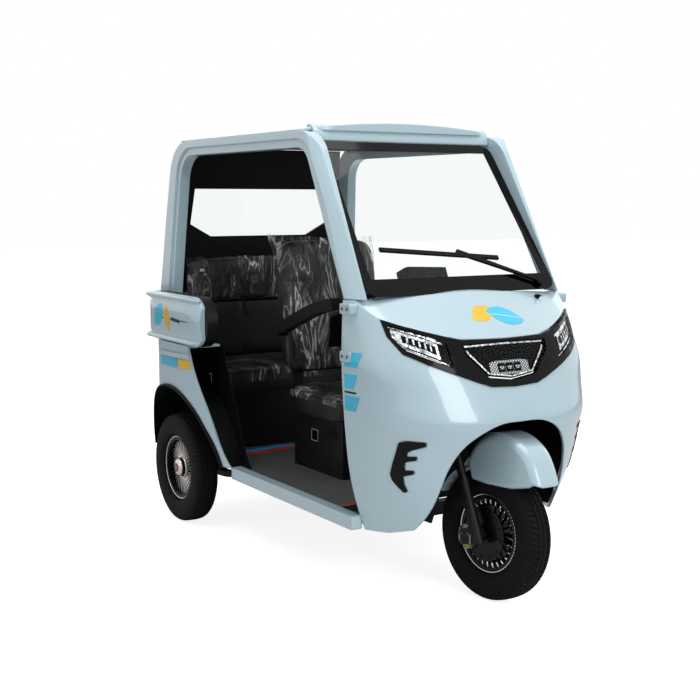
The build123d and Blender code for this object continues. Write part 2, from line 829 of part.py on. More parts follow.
with BuildPart() as driver_seat_base:
    with BuildSketch(Plane.XY.offset(floor_z)):
        with Locations(((seat_box_front_x + seat_box_rear_x) / 2, 0)):
            Rectangle(seat_box_front_x - seat_box_rear_x, 2 * seat_box_half)
            Rectangle(
                seat_box_front_x - seat_box_rear_x - 2 * seat_box_wall,
                2 * (seat_box_half - seat_box_wall),
                mode=Mode.SUBTRACT,
            )
    extrude(amount=seat_box_top - floor_z)
    with BuildSketch(Plane.XY.offset(seat_box_top)):
        with Locations(((seat_box_front_x + seat_box_rear_x) / 2, 0)):
            Rectangle(seat_box_front_x - seat_box_rear_x, 2 * seat_box_half)
    extrude(amount=seat_box_wall)
    # Two steel uprights behind the backrest, and a bar across them that holds the armrest brackets.
    for side in (-1, 1):
        with BuildSketch(side_view(side * upright_y)):
            with BuildLine():
                bend_z = backrest_foot[1]
                Polyline(
                    (seat_box_rear_x + 1, upright_low_z),
                    (seat_box_rear_x + 1, seat_box_top),
                    (backrest_rear_x(bend_z, seat_gap), bend_z),
                    (backrest_rear_x(upright_high_z, seat_gap), upright_high_z),
                    (backrest_rear_x(upright_high_z, upright_thickness), upright_high_z),
                    (backrest_rear_x(bend_z, upright_thickness), bend_z),
                    (seat_box_rear_x - upright_thickness, seat_box_top),
                    (seat_box_rear_x - upright_thickness, upright_low_z),
                    close=True,
                )
            make_face()
        extrude(amount=upright_width / 2, both=True)
    bar_low_z = armrest_pivot[1] - upright_width / 2
    bar_high_z = armrest_pivot[1] + upright_width / 2
    bracket_outer_y = armrest_inner_y - bracket_gap
    with BuildSketch(Plane.XZ):
        with BuildLine():
            Polyline(
                (backrest_rear_x(bar_low_z, seat_gap), bar_low_z),
                (backrest_rear_x(bar_high_z, seat_gap), bar_high_z),
                (backrest_rear_x(bar_high_z, upright_thickness), bar_high_z),
                (backrest_rear_x(bar_low_z, upright_thickness), bar_low_z),
                close=True,
            )
        make_face()
    extrude(amount=bracket_outer_y, both=True)
    for side in (-1, 1):
        with BuildSketch(side_view(side * (bracket_outer_y - bracket_thickness / 2))):
            with BuildLine():
                Polyline(
                    (backrest_rear_x(bar_low_z, upright_thickness), bar_low_z),
                    (armrest_pivot[0], bar_low_z),
                    (armrest_pivot[0], bar_high_z),
                    (backrest_rear_x(bar_high_z, upright_thickness), bar_high_z),
                    close=True,
                )
            make_face()
            with Locations(armrest_pivot):
                Circle(upright_width / 2)
                Circle(armrest_pin_radius + bearing_clearance, mode=Mode.SUBTRACT)
        extrude(amount=bracket_thickness / 2, both=True)
driver_seat_base.part.label = "driver_seat_base"
export_step(driver_seat_base.part, "parts/driver_seat_base.step")

cushion_gap = 0.3
cushion_half = 225
cushion_thickness = 110
cushion_edge = 28
with BuildPart() as driver_cushion:
    with BuildSketch(Plane.XY.offset(seat_box_top + seat_box_wall + cushion_gap)):
        with Locations((-100, 0)):
            RectangleRounded(400, 2 * cushion_half, 60)
    extrude(amount=cushion_thickness)
    fillet(driver_cushion.edges().group_by(Axis.Z)[-1], cushion_edge)
driver_cushion.part.label = "driver_cushion"
export_step(driver_cushion.part, "parts/driver_cushion.step")

back_plane = Plane(
    origin=(backrest_foot[0], 0, backrest_foot[1]),
    x_dir=(0, 1, 0),
    z_dir=(cos(radians(backrest_lean)), 0, sin(radians(backrest_lean))),
)
with BuildPart() as driver_backrest:
    with BuildSketch(back_plane):
        with Locations((0, backrest_height / 2)):
            RectangleRounded(2 * backrest_half, backrest_height, 70)
    extrude(amount=-backrest_thickness)
    fillet(driver_backrest.edges().filter_by(GeomType.LINE, reverse=False).group_by(Axis.X)[-1], 20)
driver_backrest.part.label = "driver_backrest"
export_step(driver_backrest.part, "parts/driver_backrest.step")

bench_front_x = -706
bench_rear_x = -950
bench_half = 385
bench_top = 545
bench_low = floor_z + mat_thickness
with BuildPart() as bench_base:
    with BuildSketch(Plane.XY.offset(rail_kick_z + rail_tube_height)):
        with Locations(((bench_front_x + bench_rear_x) / 2, 0)):
            Rectangle(bench_front_x - bench_rear_x, 2 * bench_half)
            Rectangle(
                bench_front_x - bench_rear_x - 2 * seat_box_wall,
                2 * (bench_half - seat_box_wall),
                mode=Mode.SUBTRACT,
            )
    extrude(amount=bench_top - rail_kick_z - rail_tube_height)
    with BuildSketch(Plane.XY.offset(bench_top)):
        with Locations(((bench_front_x + bench_rear_x) / 2, 0)):
            Rectangle(bench_front_x - bench_rear_x, 2 * bench_half)
    extrude(amount=seat_box_wall)
    with BuildSketch(Plane.YZ.offset(bench_front_x)):
        with Locations((0, (bench_low + bench_top) / 2)):
            Rectangle(2 * bench_half, bench_top - bench_low)
    extrude(amount=-seat_box_wall)
bench_base.part.label = "bench_base"
export_step(bench_base.part, "parts/bench_base.step")

bench_cushion_front_x = -655
bench_cushion_rear_x = -900
bench_cushion_thickness = 112
with BuildPart() as bench_cushion:
    with BuildSketch(Plane.XY.offset(bench_top + seat_box_wall + cushion_gap)):
        with Locations(((bench_cushion_front_x + bench_cushion_rear_x) / 2, 0)):
            RectangleRounded(bench_cushion_front_x - bench_cushion_rear_x, 2 * 392, 40)
    extrude(amount=bench_cushion_thickness)
    fillet(bench_cushion.edges().group_by(Axis.Z)[-1], cushion_edge)
bench_cushion.part.label = "bench_cushion"
export_step(bench_cushion.part, "parts/bench_cushion.step")

bench_back_low = 680
bench_back_high = 1122
bench_back_rear_x = -957.2
bench_back_half = 391
with BuildPart() as bench_backrest:
    with BuildSketch(Plane.XZ.offset(-bench_back_half)):
        with BuildLine():
            Polyline(
                (-865, bench_back_low),
                (-885, bench_back_high),
                (bench_back_rear_x, bench_back_high),
                (bench_back_rear_x, bench_back_low),
                close=True,
            )
        make_face()
    extrude(amount=2 * bench_back_half)
    fillet(bench_backrest.edges().filter_by(Axis.Y).group_by(Axis.X)[-1], 20)
bench_backrest.part.label = "bench_backrest"
export_step(bench_backrest.part, "parts/bench_backrest.step")

battery_gap = 6
with BuildPart() as battery_pack:
    with BuildSketch(Plane.XY.offset(floor_z)):
        with Locations(((seat_box_front_x + seat_box_rear_x) / 2, 0)):
            Rectangle(
                seat_box_front_x - seat_box_rear_x - 2 * seat_box_wall - 2 * battery_gap,
                2 * (seat_box_half - seat_box_wall - battery_gap),
            )
    extrude(amount=180)
battery_pack.part.label = "battery_pack"
export_step(battery_pack.part, "parts/battery_pack.step")

# ================= Wheels =================
parked_cos = cos(radians(parked_steer))
parked_sin = sin(radians(parked_steer))
# Directions of the steered wheel as it is parked: forward across the steering axis, and along
# the front axle.
steer_forward = (cos(radians(rake)) * parked_cos, parked_sin, sin(radians(rake)) * parked_cos)
steer_across = (-cos(radians(rake)) * parked_sin, parked_cos, -sin(radians(rake)) * parked_sin)


def steered(forward, across, up):
    """Point given along the turned fork: forward of the axis, to its left and up the axis."""
    return tuple(
        origin + forward * f + across * a + up * u
        for origin, f, a, u in zip(
            (steer_axis_x, 0, steer_axis_z), steer_forward, steer_across, steer_up
        )
    )


front_wheel_plane = Plane(origin=steered(fork_offset, 0, 0), x_dir=steer_across, z_dir=steer_forward)
wheel_planes = {
    "front": front_wheel_plane,
    "rear_right": Plane(origin=(rear_axle_x, -rear_wheel_y, tyre_radius), x_dir=(0, 1, 0), z_dir=(1, 0, 0)),
    "rear_left": Plane(origin=(rear_axle_x, rear_wheel_y, tyre_radius), x_dir=(0, 1, 0), z_dir=(1, 0, 0)),
}
front_axle_radius = 7
rear_axle_radius = 15
hub_radius = 34
front_hub_half = 46
spoke_count = 18
disc_radius = 95
disc_offset = 47
disc_thickness = 4
drum_radius = 92
drum_depth = 48


def axle_axis(plane):
    """Line of a wheel's axle."""
    return Axis(plane.origin, plane.x_dir)


for wheel_name, wheel_plane in wheel_planes.items():
    half_width = tyre_width / 2
    with BuildPart() as tyre:
        with BuildSketch(wheel_plane):
            with BuildLine():
                bead_y = rim_width / 2 - rim_flange - tyre_clearance
                bead_radius = rim_bead_radius + tyre_clearance
                flange_top = rim_lip_radius + 2
                tread_y = half_width * 0.78
                Line((bead_y, bead_radius), (bead_y, flange_top))
                Spline(
                    (bead_y, flange_top),
                    (half_width, 0.5 * (flange_top + tyre_radius)),
                    (tread_y, tyre_radius - 10),
                    tangents=((1, 0.6), (-0.6, 1)),
                )
                ThreePointArc(
                    (tread_y, tyre_radius - 10), (0, tyre_radius), (-tread_y, tyre_radius - 10)
                )
                Spline(
                    (-tread_y, tyre_radius - 10),
                    (-half_width, 0.5 * (flange_top + tyre_radius)),
                    (-bead_y, flange_top),
                    tangents=((-0.6, -1), (1, -0.6)),
                )
                Line((-bead_y, flange_top), (-bead_y, bead_radius))
                Line((-bead_y, bead_radius), (bead_y, bead_radius))
            make_face()
        revolve(axis=axle_axis(wheel_plane))
    tyre.part.label = f"{wheel_name}_tyre"
    export_step(tyre.part, f"parts/{wheel_name}_tyre.step")

    is_front = wheel_name == "front"
    bore = (front_axle_radius if is_front else rear_axle_radius) + shaft_clearance
    inward = -1 if wheel_name == "rear_left" else 1
    with BuildPart() as rim:
        with BuildSketch(wheel_plane):
            with BuildLine():
                lip_y = rim_width / 2
                Polyline(
                    (lip_y, rim_lip_radius),
                    (lip_y - rim_flange, rim_lip_radius),
                    (lip_y - rim_flange, rim_bead_radius),
                    (-lip_y + rim_flange, rim_bead_radius),
                    (-lip_y + rim_flange, rim_lip_radius),
                    (-lip_y, rim_lip_radius),
                    (-lip_y, rim_bead_radius - rim_wall),
                    (lip_y, rim_bead_radius - rim_wall),
                    close=True,
                )
            make_face()
        revolve(axis=axle_axis(wheel_plane))
        with BuildSketch(wheel_plane):
            hub_half = front_hub_half if is_front else rear_hub_half
            with Locations((0, (hub_radius + bore) / 2)):
                Rectangle(2 * hub_half, hub_radius - bore)
        revolve(axis=axle_axis(wheel_plane))
        spoke_face = Plane(origin=wheel_plane.origin, x_dir=wheel_plane.z_dir, z_dir=wheel_plane.x_dir)
        with BuildSketch(spoke_face.offset(-spoke_thickness / 2)):
            with PolarLocations((hub_radius + rim_bead_radius) / 2 - spoke_root, spoke_count):
                Rectangle(rim_bead_radius - hub_radius + spoke_root, spoke_width)
        extrude(amount=spoke_thickness)
        if is_front:
            with BuildSketch(spoke_face.offset(-disc_offset - disc_thickness)):
                Circle(disc_radius)
                Circle(hub_radius - disc_carrier, mode=Mode.SUBTRACT)
                with PolarLocations(disc_radius - disc_hole_inset, disc_holes):
                    Circle(disc_hole_radius, mode=Mode.SUBTRACT)
            extrude(amount=disc_thickness)
            with BuildSketch(spoke_face.offset(-disc_offset)):
                Circle(hub_radius)
                Circle(bore, mode=Mode.SUBTRACT)
            extrude(amount=disc_carrier)
        else:
            with BuildSketch(wheel_plane):
                with Locations((inward * (drum_face + drum_depth / 2), (drum_radius + bore) / 2)):
                    Rectangle(drum_depth, drum_radius - bore)
            revolve(axis=axle_axis(wheel_plane))
    rim.part.label = f"{wheel_name}_rim"
    export_step(rim.part, f"parts/{wheel_name}_rim.step")

# ================= Rear axle =================
axle_tube_radius = 28
drum_gap = 5
axle_tube_half = rear_wheel_y - drum_face - drum_depth - drum_gap
motor_radius = 74
motor_half = 60
gearbox_radius = 66
gearbox_length = 110
with BuildPart() as rear_axle:
    with BuildSketch(Plane.XZ.offset(-axle_tube_half)):
        with Locations((rear_axle_x, tyre_radius)):
            Circle(axle_tube_radius)
    extrude(amount=2 * axle_tube_half)
    with BuildSketch(Plane.XZ.offset(-rear_wheel_y - axle_end)):
        with Locations((rear_axle_x, tyre_radius)):
            Circle(rear_axle_radius)
    extrude(amount=2 * (rear_wheel_y + axle_end))
    with BuildSketch(Plane.XZ.offset(-motor_half)):
        with Locations((rear_axle_x, tyre_radius)):
            Circle(motor_radius)
    extrude(amount=2 * motor_half)
    with BuildSketch(Plane.XZ.offset(motor_half)):
        with Locations((rear_axle_x, tyre_radius)):
            Circle(gearbox_radius)
    extrude(amount=gearbox_length)
rear_axle.part.label = "rear_axle"
export_step(rear_axle.part, "parts/rear_axle.step")

# Leaf springs under the axle, their eyes against the rail in front and a hanger behind.
leaf_width = 44
leaf_thickness = 24
leaf_front = (-575, rail_top_z - rail_tube_height - seat_gap)
leaf_rear = (-970, rail_top_z - rail_tube_height + 8)
with BuildPart() as leaf_springs:
    for side in (-1, 1):
        with BuildSketch(Plane.XZ.offset(-side * rail_half_gauge - leaf_width / 2)):
            with BuildLine():
                middle = (rear_axle_x, tyre_radius - axle_tube_radius - 0.5)
                low_points = [(x, z - leaf_thickness) for x, z in (leaf_front, middle, leaf_rear)]
                ThreePointArc(leaf_rear, middle, leaf_front)
                Line(leaf_front, low_points[0])
                ThreePointArc(*low_points)
                Line(low_points[2], leaf_rear)
            make_face()
        extrude(amount=leaf_width)
leaf_springs.part.label = "leaf_springs"
export_step(leaf_springs.part, "parts/leaf_springs.step")


# ================= Front fender =================
# Side profile of the fender's outside, as distances ahead of and above the front axle before the
# fork is turned, from the tip over the tyre to the flap behind it.
fender_top = [(246, 206), (222, 262), (183, 315), (131, 346), (52, 361), (-22, 334), (-74, 272)]
fender_rear = [(-120, 220), (-160, 191), (-197, 153), (-223, 110)]
fender_strap = fender_top[-3:] + fender_rear
fender_skirt = [(212, 184), (136, 168), (30, 166), (-36, 170)]
fender_half = 78
fender_tip_half = 54
fender_tip_margin = 15
fender_tip_slope = 0.2
fender_wide_x = 110
fender_strap_half = 56
fender_wall = 4
fender_edge = 30
fender_inner_edge = 22
fender_inner_drop = 60
fender_beyond = 200


def fender_point(ahead, above):
    """A point of the side profile measured across and along the steering axis."""
    lean = radians(rake)
    return (ahead * cos(lean) + above * sin(lean) + fork_offset, above * cos(lean) - ahead * sin(lean))


steer_origin = (steer_axis_x, 0, steer_axis_z)
fender_side = Plane(
    origin=steer_origin,
    x_dir=steer_forward,
    z_dir=tuple(-component for component in steer_across),
)
fender_plan = Plane(origin=steer_origin, x_dir=steer_forward, z_dir=steer_up)


def fender_block(inset, edge, skirt_drop):
    """Solid hood in side view, drawn in by inset, narrower towards its tip, with rounded upper edges."""
    tip_x = fender_point(*fender_top[0])[0] + fender_tip_margin
    half = fender_half - inset
    tip_half = fender_tip_half - inset
    with BuildPart() as block:
        with BuildSketch(fender_side):
            with BuildLine():
                top = [fender_point(*p) for p in inset_curve(fender_top[::-1], inset)[::-1]]
                skirt = [fender_point(a, b - skirt_drop) for a, b in fender_skirt]
                Spline(*top)
                Polyline(top[-1], skirt[-1], *skirt[-2::-1], top[0])
            make_face()
        extrude(amount=half, both=True)
        # Plan outline: straight sides that draw in along a curve from the widest place to the tip.
        with BuildSketch(fender_plan):
            with BuildLine():
                front_x = tip_x + fender_beyond
                rear_x = -2 * fender_beyond
                Spline((fender_wide_x, half), (tip_x, tip_half), tangents=((1, 0), (1, -fender_tip_slope)))
                Polyline((tip_x, tip_half), (front_x, tip_half), (front_x, -tip_half), (tip_x, -tip_half))
                Spline((tip_x, -tip_half), (fender_wide_x, -half), tangents=((-1, -fender_tip_slope), (-1, 0)))
                Polyline((fender_wide_x, -half), (rear_x, -half), (rear_x, half), (fender_wide_x, half))
            make_face()
        extrude(amount=4 * fender_beyond, both=True, mode=Mode.INTERSECT)
        crown = block.faces().filter_by(GeomType.EXTRUSION).sort_by(SortBy.AREA)[-2:]
        sides = [
            side
            for face in crown
            for side in face.edges()
            if abs(fender_side.to_local_coords(side.center()).Z) > 0.6 * half
        ]
        fillet(sides, edge)
    return block.part


fender_outside = fender_block(0, fender_edge, 0)
fender_inside = fender_block(fender_wall, fender_inner_edge, fender_inner_drop)
with BuildPart() as front_fender:
    add(fender_outside)
    add(fender_inside, mode=Mode.SUBTRACT)
    with BuildSketch(fender_side):
        with BuildLine():
            outer_strap = [fender_point(*p) for p in fender_strap]
            inner_strap = [fender_point(*p) for p in inset_curve(fender_strap[::-1], fender_wall)[::-1]]
            Spline(*outer_strap)
            Line(outer_strap[-1], inner_strap[-1])
            Spline(*reversed(inner_strap))
            Line(inner_strap[0], outer_strap[0])
        make_face()
    extrude(amount=fender_strap_half, both=True)
front_fender.part.label = "front_fender"
export_step(front_fender.part, "parts/front_fender.step")

# ================= Steering =================
def fork_plane(forward, across, up):
    """Plane across the steering axis at a point given along the turned fork."""
    return Plane(origin=steered(forward, across, up), x_dir=steer_forward, z_dir=steer_up)


leg_y = 84
leg_low_radius = 20
leg_high_radius = 15
crown_low = 300
crown_thickness = 30
handlebar_height = 880
caliper_forward = fork_offset - 78
caliper_across = -disc_offset - 2
caliper_half = 17
caliper_length = 50
caliper_height = 84
caliper_up = 8
caliper_corner = 12
disc_gap = 3
boss_radius = 9
boss_across = 30
boss_forward = fork_offset + 8
boss_length = 60
bracket_overlap = 40
bracket_height = 56
bracket_corner = 8
bracket_thickness = 6
leg_foot = 32
leg_step = 200
leg_entry = 2
crown_front = 14
crown_corner = 18
with BuildPart() as fork:
    # Two bosses under the crown that carry the fender, ending on its surface.
    for side in (-1, 1):
        with BuildSketch(fork_plane(boss_forward, side * boss_across, crown_low + 1)):
            Circle(boss_radius)
        extrude(amount=-boss_length)
    with BuildSketch(fender_side):
        with BuildLine():
            boss_seat = [fender_point(*p) for p in inset_curve(fender_strap, seat_gap)]
            Spline(*boss_seat)
            Polyline(boss_seat[-1], (boss_seat[-1][0], 0), (boss_seat[0][0], 0), boss_seat[0])
        make_face()
    extrude(amount=fender_half, both=True, mode=Mode.SUBTRACT)
    # Bracket between the right leg and the brake caliper.
    with BuildSketch(
        Plane(
            origin=steered(fork_offset, caliper_across - caliper_half - seat_gap, caliper_up),
            x_dir=steer_forward,
            z_dir=steer_across,
        )
    ):
        with Locations(((caliper_forward - fork_offset) / 2, 0)):
            RectangleRounded(fork_offset - caliper_forward + bracket_overlap, bracket_height, bracket_corner)
    extrude(amount=-bracket_thickness)
    for side in (-1, 1):
        with BuildSketch(fork_plane(fork_offset, side * leg_y, -leg_foot)):
            Circle(leg_low_radius)
        extrude(amount=leg_foot + leg_step)
        with BuildSketch(fork_plane(fork_offset, side * leg_y, leg_step)):
            Circle(leg_high_radius)
        extrude(amount=crown_low - leg_step + leg_entry)
    with BuildSketch(fork_plane(0, 0, crown_low)):
        with Locations((fork_offset / 2, 0)):
            RectangleRounded(2 * leg_low_radius + fork_offset + crown_front, 2 * (leg_y + leg_low_radius), crown_corner)
    extrude(amount=crown_thickness)
    with BuildSketch(fork_plane(0, 0, crown_low + crown_thickness - 1)):
        Circle(stem_radius)
    extrude(amount=handlebar_height - crown_low - crown_thickness + 1)
    with BuildSketch(Plane(origin=steered(fork_offset, 0, 0), x_dir=steer_forward, z_dir=steer_across)):
        Circle(front_axle_radius)
    extrude(amount=leg_y, both=True)
fork.part.label = "fork"
export_step(fork.part, "parts/fork.step")


# ================= Handlebar and instruments =================
bar_radius = 11
grip_radius = 17
bar_half = 300
bar_pull_back = 70
cluster_foot = 52
clamp_length = 56
clamp_width = 90
clamp_corner = 12
bar_start_half = 20
bar_bend_half = 120
bar_start_rise = 18
bar_bend_rise = 36
bar_end_rise = 30
bar_bend_radius = 60
grip_length = 115
cluster_setback = 10
cluster_depth = 70
cluster_width = 200
cluster_height = 58
cluster_corner = 14
with BuildPart() as handlebar:
    with BuildSketch(fork_plane(0, 0, handlebar_height + seat_gap)):
        RectangleRounded(clamp_length, clamp_width, clamp_corner)
    extrude(amount=cluster_foot - 2 * seat_gap)
    for side in (-1, 1):
        bar_start = steered(0, side * bar_start_half, handlebar_height + bar_start_rise)
        bar_bend = steered(0, side * bar_bend_half, handlebar_height + bar_bend_rise)
        bar_end = steered(-bar_pull_back, side * bar_half, handlebar_height + bar_end_rise)
        with BuildLine(mode=Mode.PRIVATE) as bar_line:
            FilletPolyline(bar_start, bar_bend, bar_end, radius=bar_bend_radius)
        with BuildSketch(Plane(origin=bar_line.line @ 0, z_dir=bar_line.line % 0)):
            Circle(bar_radius)
        sweep(path=bar_line.line)
        with BuildSketch(Plane(origin=bar_line.line @ 1, z_dir=bar_line.line % 1)):
            Circle(grip_radius)
        extrude(amount=-grip_length)
handlebar.part.label = "handlebar"
export_step(handlebar.part, "parts/handlebar.step")

with BuildPart() as instrument_cluster:
    with BuildSketch(fork_plane(-cluster_setback, 0, handlebar_height + cluster_foot)):
        RectangleRounded(cluster_depth, cluster_width, cluster_corner)
    extrude(amount=cluster_height)
instrument_cluster.part.label = "instrument_cluster"
export_step(instrument_cluster.part, "parts/instrument_cluster.step")

# Brake caliper behind the right fork leg, straddling the disc.
with BuildPart() as brake_caliper:
    with BuildSketch(
        Plane(
            origin=steered(caliper_forward, caliper_across, caliper_up),
            x_dir=steer_forward,
            z_dir=steer_across,
        )
    ):
        RectangleRounded(caliper_length, caliper_height, caliper_corner)
    extrude(amount=caliper_half, both=True)
    with BuildSketch(
        Plane(origin=steered(fork_offset, caliper_across, 0), x_dir=steer_forward, z_dir=steer_across)
    ):
        Circle(disc_radius + disc_gap)
    extrude(amount=disc_thickness, both=True, mode=Mode.SUBTRACT)
brake_caliper.part.label = "brake_caliper"
export_step(brake_caliper.part, "parts/brake_caliper.step")


# ================= Rear body =================
# Plan curve of the rear quarter's outside, from the sill round the wheel to the back.
quarter_plan = [
    (-250, -456), (-360, -478), (-480, -522), (-620, -543),
    (-780, -546), (-900, -528), (-972, -480), (-1004, -400),
]
quarter_wall = 10
quarter_inner_y = 392
quarter_low_z = 305
quarter_high_z = 780
quarter_front = [(-330, 300), (-362, 335), (-400, 405), (-450, 520), (-512, 633), (-571, 768)]
# Edge of the rear wheel arch in side view, from behind the wheel over it to the sill.
arch_line = [
    (-1014, 300), (-1000, 360), (-976, 420), (-952, 478), (-914, 537), (-850, 582), (-762, 599),
    (-671, 590), (-584, 556), (-513, 511), (-460, 452), (-420, 399), (-387, 338), (-372, 300),
]


with BuildPart() as rear_quarters:
    with BuildSketch(Plane.XY.offset(quarter_low_z)):
        with BuildLine():
            outer_curve = quarter_plan
            inner_curve = inset_curve(quarter_plan, quarter_wall)
            Spline(*outer_curve)
            Line(outer_curve[-1], inner_curve[-1])
            Spline(*reversed(inner_curve))
            Line(inner_curve[0], outer_curve[0])
        make_face()
    extrude(amount=quarter_high_z - quarter_low_z)
    with BuildSketch(Plane.XY.offset(quarter_high_z - quarter_wall)):
        with BuildLine():
            Spline(*outer_curve)
            Polyline(
                outer_curve[-1],
                (outer_curve[-1][0], -quarter_inner_y),
                (outer_curve[0][0], -quarter_inner_y),
                outer_curve[0],
            )
        make_face()
    extrude(amount=quarter_wall)
    with BuildSketch(Plane.XZ.offset(300)):
        with BuildLine():
            Spline(*quarter_front)
            Polyline(quarter_front[-1], (-578, 800), (-100, 800), (-100, 300), quarter_front[0])
        make_face()
        with BuildLine():
            Spline(*arch_line)
            Line(arch_line[-1], arch_line[0])
        make_face()
    extrude(amount=past_body, mode=Mode.SUBTRACT)
    mirror(about=Plane.XZ)
rear_quarters.part.label = "rear_quarters"
export_step(rear_quarters.part, "parts/rear_quarters.step")

# Wheel arch liners with a lip that stands proud of the quarter, closed inboard by a side panel
# that also trims the door opening.
liner_wall = 8
liner_gap = 0.3
liner_plan = [
    (-250, -464), (-360, -486), (-480, -530), (-620, -552), (-780, -556), (-900, -547),
    (-960, -532), (-1012, -503), (-1030, -440),
]
trim_width = 36
trim_wall = 4
panel_rear_x = -1003
with BuildPart() as wheel_arch_liners:
    with BuildSketch(side_view(-quarter_inner_y)):
        with BuildLine():
            liner_outer = inset_curve(arch_line, liner_gap)
            liner_inner = inset_curve(arch_line, liner_gap + liner_wall)
            Spline(*liner_outer)
            Line(liner_outer[-1], liner_inner[-1])
            Spline(*reversed(liner_inner))
            Line(liner_inner[0], liner_outer[0])
        make_face()
    extrude(amount=200)
    with BuildSketch(Plane.XY.offset(quarter_front[0][1] - 30)):
        with BuildLine():
            Spline(*liner_plan)
            Polyline(liner_plan[-1], (liner_plan[-1][0], 0), (liner_plan[0][0], 0), liner_plan[0])
        make_face()
    extrude(amount=400, mode=Mode.INTERSECT)
    with BuildSketch(side_view(-quarter_inner_y)):
        with BuildLine():
            panel_front = [(x + trim_width, z) for x, z in quarter_front]
            panel_top_z = quarter_high_z - quarter_wall - liner_gap
            Spline(*panel_front)
            Polyline(
                panel_front[-1],
                (panel_front[-1][0], panel_top_z),
                (panel_rear_x, panel_top_z),
                (panel_rear_x, quarter_front[0][1]),
                panel_front[0],
            )
        make_face()
    extrude(amount=trim_wall)
    mirror(about=Plane.XZ)
wheel_arch_liners.part.label = "wheel_arch_liners"
export_step(wheel_arch_liners.part, "parts/wheel_arch_liners.step")

pod_front_x = -412
pod_rear_x = -962
pod_low_z = quarter_high_z + liner_gap
pod_high_z = 986
pod_inner_y = hoop_face(hoop_outer[0][1], 0) + seat_gap
pod_outer_y = 560
pod_corner = 70
with BuildPart() as side_pods:
    for side in (-1, 1):
        with BuildSketch(side_view(side * pod_inner_y)):
            with Locations(((pod_front_x + pod_rear_x) / 2, (pod_low_z + pod_high_z) / 2)):
                RectangleRounded(pod_front_x - pod_rear_x, pod_high_z - pod_low_z, pod_corner)
        extrude(amount=-side * (pod_outer_y - pod_inner_y))
side_pods.part.label = "side_pods"
export_step(side_pods.part, "parts/side_pods.step")

with BuildPart() as sills:
    for side in (-1, 1):
        with BuildSketch(Plane.XY.offset(sill_low_z)):
            with Locations(((sill_front_x + sill_rear_x) / 2, side * (sill_outer_y + sill_inner_y) / 2)):
                Rectangle(sill_front_x - sill_rear_x, sill_outer_y - sill_inner_y)
        extrude(amount=sill_high_z - sill_low_z)
sills.part.label = "sills"
export_step(sills.part, "parts/sills.step")

fascia_half = quarter_inner_y - seat_gap
fascia_low_z = 345
fascia_face_x = -1004
# Section of the fascia: flat above, with a raised field for the number plate below.
fascia_section = [
    (fascia_face_x, 950), (fascia_face_x, 560), (-1027, 500), (-1027, 370), (fascia_face_x, fascia_low_z),
    (-994, fascia_low_z), (-1015, 376), (-1015, 498), (-992, 558), (-992, 950),
]
tail_lamp_y = 330
tail_lamp_z = 700
tail_lamp_width = 80
tail_lamp_height = 180
tail_lamp_corner = 20
tail_lamp_depth = 18
plate_hole_z = 435
plate_hole_pitch = 180
plate_hole_radius = 3.5
with BuildPart() as rear_fascia:
    with BuildSketch(Plane.XZ.offset(-fascia_half)):
        with BuildLine():
            Polyline(*fascia_section, close=True)
        make_face()
    extrude(amount=2 * fascia_half)
    # Two screw holes for the number plate.
    with BuildSketch(Plane.YZ.offset(cab_rear_x)):
        with Locations((0, plate_hole_z)):
            with GridLocations(plate_hole_pitch, 0, 2, 1):
                Circle(plate_hole_radius)
    extrude(amount=-100, mode=Mode.SUBTRACT)
rear_fascia.part.label = "rear_fascia"
export_step(rear_fascia.part, "parts/rear_fascia.step")

with BuildPart() as tail_lamps:
    with BuildSketch(Plane.YZ.offset(fascia_face_x - seat_gap)):
        with Locations((-tail_lamp_y, tail_lamp_z), (tail_lamp_y, tail_lamp_z)):
            RectangleRounded(tail_lamp_width, tail_lamp_height, tail_lamp_corner)
    extrude(amount=-tail_lamp_depth)
tail_lamps.part.label = "tail_lamps"
export_step(tail_lamps.part, "parts/tail_lamps.step")

# ================= Small body pieces =================
pad_gap = 0.3
pad_face_y = 476
pad_length = 62
pad_height = 36
pad_corner = 8
with BuildPart() as door_hinge_pads:
    with BuildSketch(Plane.XZ):
        with Locations((hinge_x, hinge_middle_z)):
            with GridLocations(0, hinge_pitch, 1, 2):
                RectangleRounded(pad_length, pad_height, pad_corner)
            with GridLocations(hinge_screw_pitch, hinge_pitch, 2, 2):
                Circle(hinge_hole_radius, mode=Mode.SUBTRACT)
    extrude(amount=pad_face_y, both=True)
    add(nose_block(-pad_gap), mode=Mode.SUBTRACT)
door_hinge_pads.part.label = "door_hinge_pads"
export_step(door_hinge_pads.part, "parts/door_hinge_pads.step")

armrest_line = [armrest_pivot, (-129, 918), (25, 969), (149, 993)]
armrest_half = 22
armrest_boss_radius = 30
for side_name, side in (("right", -1), ("left", 1)):
    with BuildPart() as armrest:
        with BuildSketch(side_view(side * armrest_inner_y)):
            with BuildLine():
                upper = inset_curve(armrest_line, -armrest_half)
                lower = inset_curve(armrest_line, armrest_half)
                Spline(*upper)
                Line(upper[-1], lower[-1])
                Spline(*reversed(lower))
                Line(lower[0], upper[0])
            make_face()
            with Locations(armrest_pivot):
                Circle(armrest_boss_radius)
        extrude(amount=-side * armrest_width)
        with BuildSketch(side_view(side * (backrest_half + 1))):
            with Locations(armrest_pivot):
                Circle(armrest_pin_radius)
        extrude(amount=-side * (armrest_inner_y - backrest_half))
    armrest.part.label = f"armrest_{side_name}"
    export_step(armrest.part, f"parts/armrest_{side_name}.step")

wiper_pivot_side = 340
wiper_pivot_up = 24
wiper_lift = surround_thickness + 8
wiper_thickness = 10
wiper_boss_radius = 18
wiper_shaft_radius = 9
